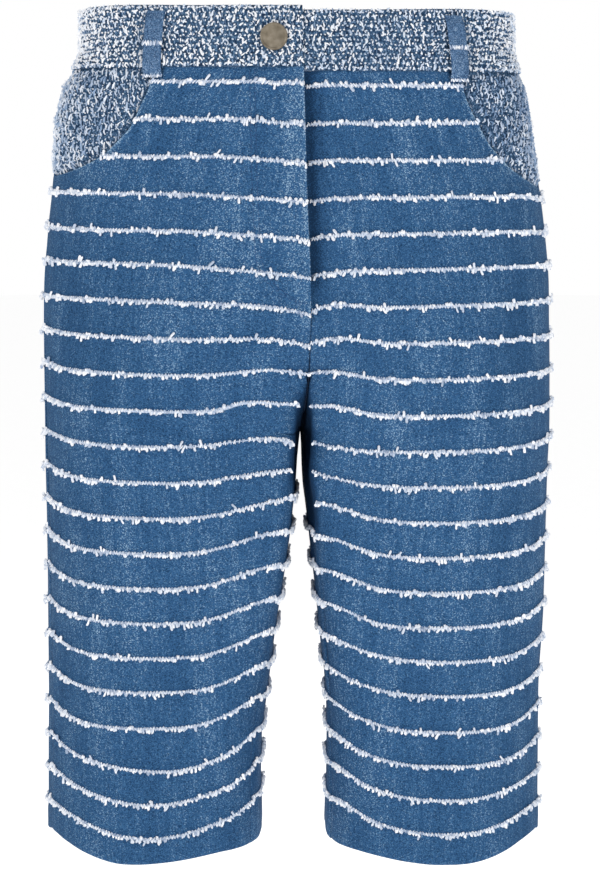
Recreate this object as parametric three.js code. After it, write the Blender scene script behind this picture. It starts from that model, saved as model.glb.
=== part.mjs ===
// Knee-length denim bermuda shorts, filled out as worn, hollow and open at the waist and both hems.
// The denim panels carry raised, frayed bands. The waistband and the pocket facings are thick tweed.
// Millimetres, +Z up, the garment's front faces -Y and its own right side is at -X.
// A "drop" is a distance down from the waist's top edge, and s is a distance along the cloth of one
// half, from its centre front (or its inseam) round by the side to its centre back.
// The origin is the middle of the waistband's hollow, half-way up the band, where a wearer holds it.
import * as THREE from "three";

const BAND_HEIGHT = 39.5;
const ORIGIN_DROP = BAND_HEIGHT / 2;
const HEM_DROP = 587.6;
const CROTCH_DROP = 286;
const SEAM_GAP = 0.3;
const DENIM = 1.5;
const TWEED = 2.4;
const HEM_FOLD = 2.7;
const HEM_TURNING = 19;
const LEFT_SLIP = 2.8;
const FLY_DROP = 186;

const BAND_COUNT = 22;
const BAND_WIDTH = 3.6;
const BAND_RELIEF = 1.4;
const STRIPES = {
  right: { first: 49.3, pitch: 24.5 },
  left: { first: 52, pitch: 24.45 },
};

// Half-widths of the outline, front and back depth, and where each leg's front comes furthest forward.
const BODY = [
  { drop: 0, right: 149.4, left: 147, front: -97, back: 97, apex: 0 },
  { drop: 12, right: 149.6, left: 147.6, front: -98.5, back: 99, apex: 0 },
  { drop: 26, right: 149.6, left: 147.8, front: -100, back: 102, apex: 2 },
  { drop: 40, right: 155.5, left: 152, front: -101, back: 105, apex: 4 },
  { drop: 54, right: 164, left: 158, front: -102.5, back: 108, apex: 6 },
  { drop: 80, right: 169.8, left: 163, front: -104.5, back: 113, apex: 11 },
  { drop: 110, right: 171.8, left: 168, front: -106.5, back: 119, apex: 17 },
  { drop: 150, right: 176.2, left: 174, front: -108.3, back: 126, apex: 27 },
  { drop: 190, right: 179.4, left: 178, front: -109, back: 129, apex: 42 },
  { drop: 230, right: 180.2, left: 178.9, front: -107.5, back: 127, apex: 64 },
  { drop: 260, right: 180.2, left: 179.3, front: -105.5, back: 122, apex: 78 },
  { drop: 286, right: 180.2, left: 179.6, front: -103, back: 116, apex: 86 },
  { drop: 320, right: 180, left: 178.6, front: -100.5, back: 109, apex: 90 },
  { drop: 360, right: 179.6, left: 177.8, front: -97.5, back: 103.5, apex: 92 },
  { drop: 420, right: 179.9, left: 177, front: -93, back: 97, apex: 96 },
  { drop: 480, right: 180.1, left: 174.4, front: -89, back: 92.5, apex: 100 },
  { drop: 530, right: 181, left: 174.5, front: -86, back: 89.5, apex: 102 },
  { drop: HEM_DROP, right: 182, left: 175, front: -84, back: 87, apex: 103 },
];

// How far each leg's inner side stands from the middle plane.
const INNER = [
  { drop: 286, right: 0.4, left: 0.9 },
  { drop: 309, right: 0.8, left: 1.6 },
  { drop: 338, right: 1.8, left: 3.2 },
  { drop: 367, right: 5.1, left: 7 },
  { drop: 396, right: 10.2, left: 10.8 },
  { drop: 426, right: 15.3, left: 14.6 },
  { drop: 456, right: 19.2, left: 17.4 },
  { drop: 486, right: 23.2, left: 19.6 },
  { drop: 515, right: 26.2, left: 20.4 },
  { drop: 545, right: 26.6, left: 20.4 },
  { drop: HEM_DROP, right: 26, left: 19.2 },
];

// The rise seam from the front waist under the crotch to the back waist, as depths.
const RISE = [
  { drop: 0, front: -97, back: 97 },
  { drop: 40, front: -101, back: 105 },
  { drop: 110, front: -106.3, back: 118.5 },
  { drop: 190, front: -107.5, back: 125 },
  { drop: 225, front: -103, back: 112 },
  { drop: 246, front: -92, back: 92 },
  { drop: 262, front: -74, back: 68 },
  { drop: 274, front: -50, back: 45 },
  { drop: 282, front: -22, back: 24 },
  { drop: CROTCH_DROP, front: 7.8, back: 8.2 },
];

// Roundness of the sections, seam places and the sideways lean of the fly.
const SHAPE = [
  { drop: 0, outer: 2.45, inner: 1.2, sideY: 0, sideSeam: 6, lean: 3 },
  { drop: 120, outer: 2.25, inner: 1.3, sideY: 4, sideSeam: 12, lean: 5 },
  { drop: 190, outer: 2.2, inner: 1.35, sideY: 6, sideSeam: 23, lean: 6.2 },
  { drop: 240, outer: 2.18, inner: 1.8, sideY: 5.5, sideSeam: 28, lean: 4.8 },
  { drop: CROTCH_DROP, outer: 2.15, inner: 2.1, sideY: 5, sideSeam: 32, lean: 1.5 },
  { drop: 340, outer: 2.1, inner: 2.08, sideY: 4.5, sideSeam: 32, lean: 0 },
  { drop: 400, outer: 2.05, inner: 2.05, sideY: 4, sideSeam: 32, lean: 0 },
  { drop: HEM_DROP, outer: 2.02, inner: 2.02, sideY: 3, sideSeam: 32, lean: 0 },
];
const INSEAM_FORWARD = 28;
const INSEAM_SET_DROP = 400;

// How a woven line leaves the level on the front: it rises to the side and to the inner leg, and
// dips at the fly.
const FRONT_SWAY = [
  { drop: 40, side: 0, inner: 0, dip: 0 },
  { drop: 60, side: 0.3, inner: 0, dip: 2 },
  { drop: 125, side: 0.5, inner: 0, dip: 5 },
  { drop: 200, side: 0.6, inner: 0, dip: 6.5 },
  { drop: 225, side: 1, inner: 3, dip: 6 },
  { drop: 250, side: 1.6, inner: 5.5, dip: 6 },
  { drop: CROTCH_DROP, side: 2.6, inner: 7, dip: 7 },
  { drop: 325, side: 4.5, inner: 7.5, dip: 5.5 },
  { drop: 370, side: 6, inner: 8, dip: 1.5 },
  { drop: 430, side: 6, inner: 8.3, dip: 0 },
  { drop: 545, side: 7.5, inner: 9, dip: 0 },
  { drop: 575, side: 9, inner: 8.2, dip: 0 },
  { drop: HEM_DROP, side: 10, inner: 7.5, dip: 0 },
];

// The same on the back: level at the side, higher at the centre back and the inseam.
const BACK_SWAY = [
  { drop: 40, middle: 0 },
  { drop: 120, middle: 4 },
  { drop: 240, middle: 7 },
  { drop: 300, middle: 9 },
  { drop: 360, middle: 15 },
  { drop: 560, middle: 17 },
  { drop: 575, middle: 14 },
  { drop: HEM_DROP, middle: 7.5 },
];

// The curved pocket mouth: how far round the cloth each height of it lies.
const MOUTH = {
  right: [
    { drop: 40, s: 97 },
    { drop: 55, s: 101.5 },
    { drop: 66, s: 107.5 },
    { drop: 77, s: 113 },
    { drop: 88, s: 124 },
    { drop: 99, s: 139 },
    { drop: 105, s: 156 },
    { drop: 110, s: 180 },
    { drop: 113.5, s: 226 },
  ],
  left: [
    { drop: 42, s: 111 },
    { drop: 56, s: 114.5 },
    { drop: 66, s: 119 },
    { drop: 77, s: 126 },
    { drop: 89, s: 134 },
    { drop: 100, s: 146 },
    { drop: 110, s: 163 },
    { drop: 117, s: 186 },
    { drop: 121.5, s: 222 },
  ],
};

// Soft troughs and ridges pressed into the denim: a run from (s, drop) to (s, drop), half-width, depth.
const FRONT_FOLDS = [
  { side: "left", s0: 6, drop0: 44, s1: 5, drop1: 205, half: 6, depth: -3.2 },
  { side: "right", s0: 31, drop0: 60, s1: 29, drop1: 160, half: 5, depth: -0.9 },
  { side: "right", s0: 29, drop0: 160, s1: 8, drop1: 200, half: 5, depth: -0.9 },
  { side: "right", s0: 22, drop0: 208, s1: 70, drop1: 236, half: 9, depth: -1.6 },
  { side: "left", s0: 20, drop0: 216, s1: 66, drop1: 240, half: 9, depth: -1.4 },
  { side: "right", s0: 52, drop0: 330, s1: 44, drop1: 470, half: 16, depth: -1.8 },
  { side: "left", s0: 50, drop0: 330, s1: 48, drop1: 460, half: 15, depth: -1.8 },
  { side: "right", s0: 150, drop0: 430, s1: 142, drop1: HEM_DROP, half: 14, depth: -1.5 },
  { side: "left", s0: 142, drop0: 440, s1: 150, drop1: HEM_DROP, half: 13, depth: -1.7 },
  { side: "right", s0: 170, drop0: 150, s1: 150, drop1: 300, half: 18, depth: -1.2 },
  { side: "left", s0: 168, drop0: 150, s1: 152, drop1: 290, half: 18, depth: -1.3 },
];
const BACK_FOLDS = [
  { side: "right", s0: 40, drop0: 262, s1: 150, drop1: 292, half: 11, depth: -3.2 },
  { side: "left", s0: 38, drop0: 268, s1: 158, drop1: 298, half: 11, depth: -3 },
  { side: "right", s0: 70, drop0: 300, s1: 168, drop1: 326, half: 10, depth: -2 },
  { side: "left", s0: 66, drop0: 306, s1: 176, drop1: 328, half: 10, depth: -2.1 },
  { side: "right", s0: 120, drop0: 350, s1: 150, drop1: HEM_DROP, half: 18, depth: -2.6 },
  { side: "left", s0: 132, drop0: 344, s1: 140, drop1: HEM_DROP, half: 18, depth: -2.4 },
  { side: "right", s0: 230, drop0: 400, s1: 236, drop1: HEM_DROP, half: 15, depth: -1.8 },
  { side: "left", s0: 226, drop0: 410, s1: 240, drop1: HEM_DROP, half: 15, depth: -1.9 },
];

const clamp01 = (v) => Math.min(1, Math.max(0, v));
const smooth = (v) => clamp01(v) ** 2 * (3 - 2 * clamp01(v));
const mirror = { right: -1, left: 1 };

// A smooth curve through one column of a table, with no overshoot between its rows.
function through(table, column) {
  const x = table.map((row) => row.drop);
  const y = table.map((row) => row[column]);
  const last = x.length - 1;
  const slope = x.slice(1).map((v, i) => (y[i + 1] - y[i]) / (v - x[i]));
  const tangent = x.map((_, k) => {
    if (k === 0) return slope[0];
    if (k === last) return slope[last - 1];
    if (slope[k - 1] * slope[k] <= 0) return 0;
    const before = x[k] - x[k - 1];
    const after = x[k + 1] - x[k];
    const w1 = 2 * after + before;
    const w2 = after + 2 * before;
    return (w1 + w2) / (w1 / slope[k - 1] + w2 / slope[k]);
  });
  return (drop) => {
    const d = Math.min(x[last], Math.max(x[0], drop));
    let i = 0;
    while (i < last - 1 && d > x[i + 1]) i++;
    const h = x[i + 1] - x[i];
    const t = (d - x[i]) / h;
    return (
      (2 * t ** 3 - 3 * t ** 2 + 1) * y[i] +
      (t ** 3 - 2 * t ** 2 + t) * h * tangent[i] +
      (3 * t ** 2 - 2 * t ** 3) * y[i + 1] +
      (t ** 3 - t ** 2) * h * tangent[i + 1]
    );
  };
}

const columnsOf = (table) =>
  Object.fromEntries(
    Object.keys(table[0])
      .filter((key) => key !== "drop")
      .map((key) => [key, through(table, key)]),
  );
const body = columnsOf(BODY);
const inner = columnsOf(INNER);
const rise = columnsOf(RISE);
const shape = columnsOf(SHAPE);
const frontSway = columnsOf(FRONT_SWAY);
const backSway = columnsOf(BACK_SWAY);
const mouthLine = {
  right: through(MOUTH.right, "s"),
  left: through(MOUTH.left, "s"),
};
const mouthEnd = (side) => MOUTH[side][MOUTH[side].length - 1].drop;

// A quarter of a superellipse from (cx + ax, cy) to (cx, cy + ay).
function quarter(cx, cy, ax, ay, powerX, powerY, steps) {
  const points = [];
  for (let k = 0; k <= steps; k++) {
    const angle = ((Math.PI / 2) * k) / steps;
    const c = k === steps ? 0 : Math.cos(angle);
    points.push([
      cx + ax * c ** (2 / powerX),
      cy + ay * Math.sin(angle) ** (2 / powerY),
    ]);
  }
  return points;
}

const INNER_STEPS = 24;
const OUTER_STEPS = 40;
const sections = new Map();

// The level outline of one half at a drop: its points, the length up to each, and the length of
// its front, which ends where the half is widest.
function section(side, drop) {
  const key = side + drop.toFixed(3);
  if (sections.has(key)) return sections.get(key);
  const split = drop >= CROTCH_DROP;
  const closing = clamp01((drop - 225) / (CROTCH_DROP - 225));
  const touch = SEAM_GAP / 2 + (INNER[0][side] - SEAM_GAP / 2) * closing;
  const xIn = split ? inner[side](drop) : touch;
  const yMid = 8 - 4 * clamp01((drop - CROTCH_DROP) / (HEM_DROP - CROTCH_DROP));
  const frontEnd = split ? yMid : rise.front(drop);
  const backEnd = split ? yMid : rise.back(drop);
  const xOut = body[side](drop);
  const apex = Math.max(body.apex(drop), xIn + 1);
  const front = body.front(drop);
  const back = body.back(drop);
  const sideY = shape.sideY(drop);
  const n = shape.outer(drop);
  const m = shape.inner(drop);
  const innerFront = quarter(apex, frontEnd, xIn - apex, front - frontEnd, 2.1, m, INNER_STEPS);
  const outerFront = quarter(apex, sideY, xOut - apex, front - sideY, n, n, OUTER_STEPS);
  const outerBack = quarter(apex, sideY, xOut - apex, back - sideY, n, n, OUTER_STEPS);
  const innerBack = quarter(apex, backEnd, xIn - apex, back - backEnd, 2.1, m, INNER_STEPS);
  const points = [
    ...innerFront,
    ...outerFront.reverse().slice(1),
    ...outerBack.slice(1),
    ...innerBack.reverse().slice(1),
  ];
  const lengths = [0];
  for (let k = 1; k < points.length; k++) {
    const step = Math.hypot(points[k][0] - points[k - 1][0], points[k][1] - points[k - 1][1]);
    lengths.push(lengths[k - 1] + step);
  }
  const made = {
    points,
    lengths,
    total: lengths[lengths.length - 1],
    frontLength: lengths[INNER_STEPS + OUTER_STEPS],
  };
  sections.set(key, made);
  return made;
}

// The place on a half's bare surface. Past the centre front or back it carries on over the other half.
function surface(side, drop, s) {
  const { points, lengths, total } = section(side, drop);
  let along = s;
  let flip = 1;
  if (drop >= CROTCH_DROP) {
    along = ((s % total) + total) % total;
  } else if (s < 0) {
    along = -s;
    flip = -1;
  } else if (s > total) {
    along = 2 * total - s;
    flip = -1;
  }
  let low = 0;
  let high = lengths.length - 1;
  while (high - low > 1) {
    const mid = (low + high) >> 1;
    if (lengths[mid] > along) high = mid;
    else low = mid;
  }
  const t = (along - lengths[low]) / (lengths[high] - lengths[low] || 1);
  const x = points[low][0] + t * (points[high][0] - points[low][0]);
  const y = points[low][1] + t * (points[high][1] - points[low][1]);
  return new THREE.Vector3(mirror[side] * flip * x, y, -drop);
}

// The same place moved out along the surface's normal, with the fly's lean, in the part's frame.
function place(side, drop, s, lift) {
  const reach = 0.8;
  const here = surface(side, drop, s);
  const along = surface(side, drop, s + reach).sub(surface(side, drop, s - reach));
  const down = surface(side, drop + reach, s).sub(surface(side, drop - reach, s));
  const normal = down.cross(along).multiplyScalar(mirror[side]).normalize();
  here.addScaledVector(normal, lift);
  const past = drop < CROTCH_DROP && (s < 0 || s > section(side, drop).total);
  if (!past) {
    here.x = mirror[side] * Math.max(SEAM_GAP / 2, mirror[side] * here.x);
  }
  const lean = shape.lean(drop) * Math.exp(-((here.x / 45) ** 2)) * smooth(-here.y / 60);
  return new THREE.Vector3(here.x + lean, here.y, here.z + ORIGIN_DROP);
}

const sideSeam = (side, drop) => section(side, drop).frontLength - shape.sideSeam(drop);
const inseam = (drop) =>
  INSEAM_FORWARD * clamp01((drop - CROTCH_DROP) / (INSEAM_SET_DROP - CROTCH_DROP));

// How far a fold moves the cloth at (s, drop).
function pressed(folds, side, s, drop) {
  let sum = 0;
  for (const fold of folds) {
    if (fold.side !== side) continue;
    const ds = fold.s1 - fold.s0;
    const dd = fold.drop1 - fold.drop0;
    const length = Math.hypot(ds, dd);
    const t = ((s - fold.s0) * ds + (drop - fold.drop0) * dd) / length ** 2;
    const across = ((s - fold.s0) * dd - (drop - fold.drop0) * ds) / length;
    const fade = smooth((t + 0.12) / 0.3) * smooth((1.12 - t) / 0.3);
    const open = fold.drop1 >= HEM_DROP ? smooth((t + 0.12) / 0.3) : fade;
    sum += fold.depth * open * Math.exp(-((across / fold.half) ** 2));
  }
  return sum;
}

// A closed wall from an outer and an inner sheet of rows of points. Both have the same columns, and
// the inner one may have fewer rows, so the upright edges are joined by the shortest ways across.
function wall(outer, inside) {
  const width = outer[0].length;
  const positions = [];
  const indices = [];
  const starts = [outer, inside].map((sheet) => {
    const first = positions.length / 3;
    for (const row of sheet) for (const p of row) positions.push(p.x, p.y, p.z);
    return first;
  });
  const id = (sheet, r, c) => starts[sheet] + r * width + c;
  const apart = (a, b) =>
    Math.hypot(...[0, 1, 2].map((k) => positions[3 * a + k] - positions[3 * b + k]));
  const quad = (a, b, c, d) =>
    apart(a, c) <= apart(b, d) ? indices.push(a, b, c, a, c, d) : indices.push(a, b, d, b, c, d);
  for (let r = 0; r < outer.length - 1; r++)
    for (let c = 0; c < width - 1; c++)
      quad(id(0, r, c), id(0, r + 1, c), id(0, r + 1, c + 1), id(0, r, c + 1));
  for (let r = 0; r < inside.length - 1; r++)
    for (let c = 0; c < width - 1; c++)
      quad(id(1, r, c), id(1, r, c + 1), id(1, r + 1, c + 1), id(1, r + 1, c));
  const ends = [outer.length - 1, inside.length - 1];
  for (let c = 0; c < width - 1; c++) {
    quad(id(0, 0, c), id(0, 0, c + 1), id(1, 0, c + 1), id(1, 0, c));
    quad(id(0, ends[0], c), id(1, ends[1], c), id(1, ends[1], c + 1), id(0, ends[0], c + 1));
  }
  for (const [c, turned] of [[0, false], [width - 1, true]]) {
    let a = 0;
    let b = 0;
    while (a < ends[0] || b < ends[1]) {
      const outerGap = a < ends[0] ? apart(id(0, a + 1, c), id(1, b, c)) : Infinity;
      const insideGap = b < ends[1] ? apart(id(0, a, c), id(1, b + 1, c)) : Infinity;
      const stepOuter = outerGap <= insideGap;
      const next = stepOuter ? id(0, a + 1, c) : id(1, b + 1, c);
      const triangle = [id(0, a, c), id(1, b, c), next];
      indices.push(...(turned ? triangle.reverse() : triangle));
      if (stepOuter) a++;
      else b++;
    }
  }
  const geometry = new THREE.BufferGeometry();
  geometry.setAttribute("position", new THREE.Float32BufferAttribute(positions, 3));
  geometry.setIndex(indices);
  return facingOut(geometry);
}

// Turns a closed mesh's faces outwards if its volume comes out negative.
function facingOut(geometry) {
  const at = geometry.getAttribute("position");
  const index = geometry.getIndex().array;
  const corner = (k) => new THREE.Vector3().fromBufferAttribute(at, index[k]);
  let volume = 0;
  for (let k = 0; k < index.length; k += 3)
    volume += corner(k).dot(corner(k + 1).cross(corner(k + 2)));
  if (volume < 0)
    for (let k = 0; k < index.length; k += 3) [index[k], index[k + 1]] = [index[k + 1], index[k]];
  return geometry;
}

const denimLook = new THREE.MeshStandardMaterial({ color: "#456991", roughness: 0.9, metalness: 0 });
const tweedLook = new THREE.MeshStandardMaterial({ color: "#7f97b3", roughness: 0.95, metalness: 0 });
const buttonLook = new THREE.MeshStandardMaterial({ color: "#8f8578", roughness: 0.42, metalness: 0.9 });

const shorts = new THREE.Group();
function add(name, geometry, look) {
  const mesh = new THREE.Mesh(geometry, look);
  mesh.name = name;
  shorts.add(mesh);
  return mesh;
}

// How far below nominal the left side hangs: all of it in front, none at the centre back.
const slip = (side, s) => (side === "left" ? LEFT_SLIP * smooth((430 - s) / 200) : 0);

// The rows of a denim panel: three to each raised band, plain ones between, and close ones where
// the rise turns under the crotch. Each says whether the wall's plain inside has it too.
function panelRows(side, plain, edgeDrops, nominal) {
  const rows = [{ drop: BAND_HEIGHT + SEAM_GAP, relief: 0, inside: true, top: true }];
  const { first, pitch } = STRIPES[side];
  for (let k = 0; k < BAND_COUNT; k++) {
    const drop = first + k * pitch;
    rows.push({ drop: drop - BAND_WIDTH / 2, relief: 0, inside: false });
    rows.push({ drop, relief: BAND_RELIEF, inside: k % 2 === 1 || drop < CROTCH_DROP });
    rows.push({ drop: drop + BAND_WIDTH / 2, relief: 0, inside: false });
  }
  const clear = (drop, room) => rows.every((row) => Math.abs(row.drop - drop) > room);
  for (const edge of edgeDrops) {
    const drop = nominal(edge);
    if (clear(drop, 2.4) || edge === CROTCH_DROP) rows.push({ drop, relief: 0, inside: true });
  }
  for (const drop of plain) if (clear(drop, 1)) rows.push({ drop, relief: 0, inside: true });
  return rows.sort((a, b) => a.drop - b.drop);
}

// A denim panel's two sheets of points from its rows.
function panel({ side, rows, shares, from, to, sway, lift, bare }) {
  const outer = [];
  const inside = [];
  for (const row of rows) {
    const line = [];
    const under = [];
    const fold = smooth((row.drop - HEM_DROP + HEM_TURNING) / 3);
    const last = row.drop + sway(1, row.drop);
    for (const u of shares) {
      let drop = row.drop + (row.top ? 0 : sway(u, row.drop));
      const s = from(drop) * (1 - u) + to(drop, last) * u;
      if (row.top) drop += slip(side, s);
      const base = lift(s, drop);
      const relief = row.relief * (1 - bare(s, drop));
      line.push(place(side, drop, s, base + relief + 0.4 * fold));
      under.push(place(side, drop, s, base - DENIM - (HEM_FOLD - DENIM) * fold));
    }
    outer.push(line);
    if (row.inside) inside.push(under);
  }
  return wall(outer, inside);
}

const HEM_ROWS = [HEM_DROP - HEM_TURNING, HEM_DROP - HEM_TURNING + 3, HEM_DROP - 1.2, HEM_DROP];
const CROTCH_EDGE = [
  234, 243, 251, 258, 264, 269, 274, 278.5, 282.5, CROTCH_DROP, 291, 299, INSEAM_SET_DROP,
];

// Where across a panel its columns stand, closest where the cloth turns most.
const FRONT_SHARES = [0, 0.045, 0.1, 0.19, 0.3, 0.41, 0.52, 0.62, 0.71, 0.79, 0.865, 0.935, 1];
const BACK_SHARES = [0, 0.06, 0.12, 0.19, 0.27, 0.36, 0.45, 0.54, 0.63, 0.72, 0.81, 0.89, 0.95, 1];

// Extra rows above the lower end of each pocket mouth, so its curve stays smooth.
const MOUTH_ROWS = {
  right: [54, 46, 33, 26.5, 20.5, 10.5, 7, 4.2, 2.5, 1.3, 0.5, 0],
  left: [54, 45, 34, 27, 16, 11.5, 8, 5.6, 3.6, 1.9, 0.7, 0],
};

// A front panel: inseam or centre front at u = 0, side seam or pocket mouth at u = 1.
function frontPanel(side) {
  const sway = (u, drop) => {
    // The rise to both edges starts further in as it nears the hem.
    const hem = smooth((drop - 500) / 60);
    const atInner = clamp01(1 - 2 * u) ** 2 * (1 - hem) + smooth((0.5 - u) / 0.38) * hem;
    const atSide = clamp01((u - 0.65) / 0.35) ** 2 * (1 - hem) + smooth((u - 0.53) / 0.42) * hem;
    return (
      frontSway.dip(drop) * clamp01(1 - u / 0.2) ** 2 -
      frontSway.inner(drop) * atInner -
      frontSway.side(drop) * atSide
    );
  };
  const nominal = (edge) => edge - sway(0, edge);
  const end = mouthEnd(side);
  const mouthRows = MOUTH_ROWS[side].map((above) => end - above);
  const rows = panelRows(side, [...mouthRows, ...HEM_ROWS], CROTCH_EDGE, nominal);
  // Above the fly's end the left edge runs under the right one.
  const under = (drop) => (side === "left" ? 12 * smooth((FLY_DROP + 16 - drop) / 18) : 0);
  const from = (drop) => (drop < CROTCH_DROP ? -under(drop) : inseam(drop) + SEAM_GAP / 2);
  const to = (drop, last) => {
    const seam = sideSeam(side, drop) - SEAM_GAP / 2;
    if (last >= end) return seam;
    return Math.min(seam, mouthLine[side](last));
  };
  const lift = (s, drop) => {
    const ledge =
      side === "right"
        ? 2.1 * smooth((24 - s) / 22) * smooth((FLY_DROP + 42 - drop) / 36)
        : -1.5 * smooth((6 - s) / 6) * smooth((FLY_DROP + 6 - drop) / 12);
    return ledge + pressed(FRONT_FOLDS, side, s, drop);
  };
  const bare = (s, drop) => (side === "left" && drop < FLY_DROP + 6 ? smooth((4 - s) / 4) : 0);
  return panel({ side, rows, shares: FRONT_SHARES, from, to, sway, lift, bare });
}

// A back panel: side seam at u = 0, centre back or inseam at u = 1.
function backPanel(side) {
  const sway = (u, drop) => {
    const atSide = frontSway.side(drop) * (1 - clamp01(u / 0.2)) ** 2;
    return -atSide - backSway.middle(drop) * smooth((u - 0.3) / 0.7);
  };
  const nominal = (edge) => {
    let drop = edge;
    for (let k = 0; k < 12; k++) drop = edge - sway(1, drop);
    return drop;
  };
  const rows = panelRows(side, HEM_ROWS, CROTCH_EDGE, nominal);
  const from = (drop) => sideSeam(side, drop) + SEAM_GAP / 2;
  const to = (drop) => {
    const { total } = section(side, drop);
    return drop < CROTCH_DROP ? total : total + inseam(drop) - SEAM_GAP / 2;
  };
  const lift = (s, drop) => {
    const { total } = section(side, drop);
    return pressed(BACK_FOLDS, side, total - s, drop);
  };
  return panel({ side, rows, shares: BACK_SHARES, from, to, sway, lift, bare: () => 0 });
}

// How far a place stands inside the pocket mouth, measured square to its edge.
function insideMouth(side, s, drop) {
  if (drop >= mouthEnd(side)) return 0;
  const slope = (mouthLine[side](drop + 1) - mouthLine[side](drop - 1)) / 2;
  return (s - mouthLine[side](drop)) / Math.hypot(1, slope);
}

// The tweed facing behind a pocket mouth, tucked under the denim's curved edge.
function pocketFacing(side) {
  const tuck = 1;
  const end = mouthEnd(side);
  const top = BAND_HEIGHT + SEAM_GAP + (side === "left" ? LEFT_SLIP : 0);
  const heights = [0, 0.13, 0.26, 0.38, 0.49, 0.59, 0.68, 0.76, 0.83, 0.9, 1].map(
    (share) => top + share * (end + 7 - top),
  );
  const outer = [];
  const inside = [];
  for (const drop of heights) {
    const seam = sideSeam(side, drop) - 4 * SEAM_GAP;
    const mouth = Math.min(seam, mouthLine[side](drop));
    const start = Math.min(mouthLine[side](Math.max(BAND_HEIGHT, drop - 8)) - 7, seam - 14);
    const room = seam - start;
    const low = Math.min(0.6, (mouth + 0.6 - start) / room);
    const high = Math.min(0.8, low + 6 / room);
    const shares = [0, low, high];
    for (let k = 1; k <= 5; k++) shares.push(high + ((1 - high) * k) / 5);
    const line = [];
    const under = [];
    for (const share of shares) {
      const s = start + share * room;
      const clearOf = insideMouth(side, s, drop);
      const out = -DENIM - tuck + (DENIM + tuck) * smooth((clearOf - 2) / 7);
      line.push(place(side, drop, s, out));
      under.push(place(side, drop, s, out - TWEED + 0.4));
    }
    outer.push(line);
    inside.push(under);
  }
  return wall(outer, inside);
}

// One half of the waistband. The right half's front end laps over the left one's.
const BAND_OUT = 2.3;
const BAND_PEAK = 2;
const LAP = 38;
function waistband(side) {
  const profile = [
    { drop: 0, tuck: 1.1 },
    { drop: 1.4, tuck: 0.3 },
    { drop: 10, tuck: 0 },
    { drop: 30, tuck: 0 },
    { drop: 38, tuck: 0.3 },
    { drop: BAND_HEIGHT, tuck: 1.1 },
  ];
  const lap = side === "left" ? [-LAP, -LAP / 2, 0.1, 1.5] : [0, 8];
  const outer = [];
  const inside = [];
  for (const { drop, tuck } of profile) {
    const line = [];
    const under = [];
    const { total } = section(side, drop);
    const round = [];
    for (let c = 1; c <= 24; c++) round.push(12 + ((total - 12) * c) / 24);
    for (const s of [...lap, ...round]) {
      const over = side === "right" ? (TWEED + SEAM_GAP + 0.1) * smooth((LAP + 34 - s) / 30) : 0;
      // The lap is cut back below, where the right front's top edge stands in front of it, and
      // the top edge stands a little higher over each hip's front.
      const upper = 1 - drop / BAND_HEIGHT;
      const peak = BAND_PEAK * Math.exp(-(((s - 135) / 60) ** 2));
      const level = drop + slip(side, s) * (s < 1 ? upper : 1) - peak * upper;
      line.push(place(side, level, s, BAND_OUT + over - tuck));
      under.push(place(side, level, s, BAND_OUT + over - TWEED));
    }
    outer.push(line);
    inside.push(under);
  }
  return wall(outer, inside);
}

// A belt loop: a denim strip seated at both ends, standing off the waistband between them.
function beltLoop(side, middle, down) {
  const width = 13;
  const thick = 1.6;
  const profile = [
    { drop: 3, out: 0.4 },
    { drop: 5, out: 0.4 },
    { drop: 8, out: 1.9 },
    { drop: 16, out: 2.6 },
    { drop: 27, out: 2.6 },
    { drop: 37, out: 1.9 },
    { drop: 41.5, out: 0.9 },
    { drop: 44.5, out: -1.5 },
    { drop: 46.6, out: -1.6 },
  ];
  const outer = [];
  const inside = [];
  for (const { drop, out } of profile) {
    const line = [];
    const under = [];
    for (let c = 0; c <= 3; c++) {
      const s = middle(drop) + width * (c / 3 - 0.5);
      line.push(place(side, drop + down, s, BAND_OUT + out + thick));
      under.push(place(side, drop + down, s, BAND_OUT + out));
    }
    outer.push(line);
    inside.push(under);
  }
  return wall(outer, inside);
}

// A plain domed shank button with a raised rim.
function button() {
  const radius = 9;
  const profile = [
    [0, 0],
    [radius - 0.9, 0],
    [radius - 0.2, 0.4],
    [radius, 1.1],
    [radius - 0.3, 1.9],
    [radius - 1, 2.2],
    [radius - 1.6, 1.8],
    [radius - 2.4, 1.9],
    [radius / 2, 2.2],
    [0, 2.4],
  ].map(([r, h]) => new THREE.Vector2(r, h));
  const geometry = new THREE.LatheGeometry(profile, 30);
  const s = 18.5;
  const drop = 21;
  const seat = BAND_OUT + TWEED + SEAM_GAP + 0.1 + SEAM_GAP + 0.1;
  const low = place("right", drop, s, seat);
  const out = place("right", drop, s, seat + 1).sub(low).normalize();
  const turn = new THREE.Quaternion().setFromUnitVectors(new THREE.Vector3(0, 1, 0), out);
  const mesh = add("button", geometry, buttonLook);
  mesh.quaternion.copy(turn);
  mesh.position.copy(low);
}

for (const side of ["right", "left"]) {
  add("front_" + side, frontPanel(side), denimLook);
  add("back_" + side, backPanel(side), denimLook);
  add("pocket_facing_" + side, pocketFacing(side), tweedLook);
  add("waistband_" + side, waistband(side), tweedLook);
}
const leaning = (top, bottom) => (drop) => top + ((bottom - top) * drop) / BAND_HEIGHT;
const fromBack = (side, away) => (drop) => section(side, drop).total - away;
add("belt_loop_front_right", beltLoop("right", leaning(94, 97), 0), denimLook);
add("belt_loop_front_left", beltLoop("left", leaning(104, 109), LEFT_SLIP), denimLook);
add("belt_loop_side_right", beltLoop("right", fromBack("right", 112), 0), denimLook);
add("belt_loop_side_left", beltLoop("left", fromBack("left", 112), 0), denimLook);
add("belt_loop_back", beltLoop("right", fromBack("right", 0), 0), denimLook);
button();

export default shorts;
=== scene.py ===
import math

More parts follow.
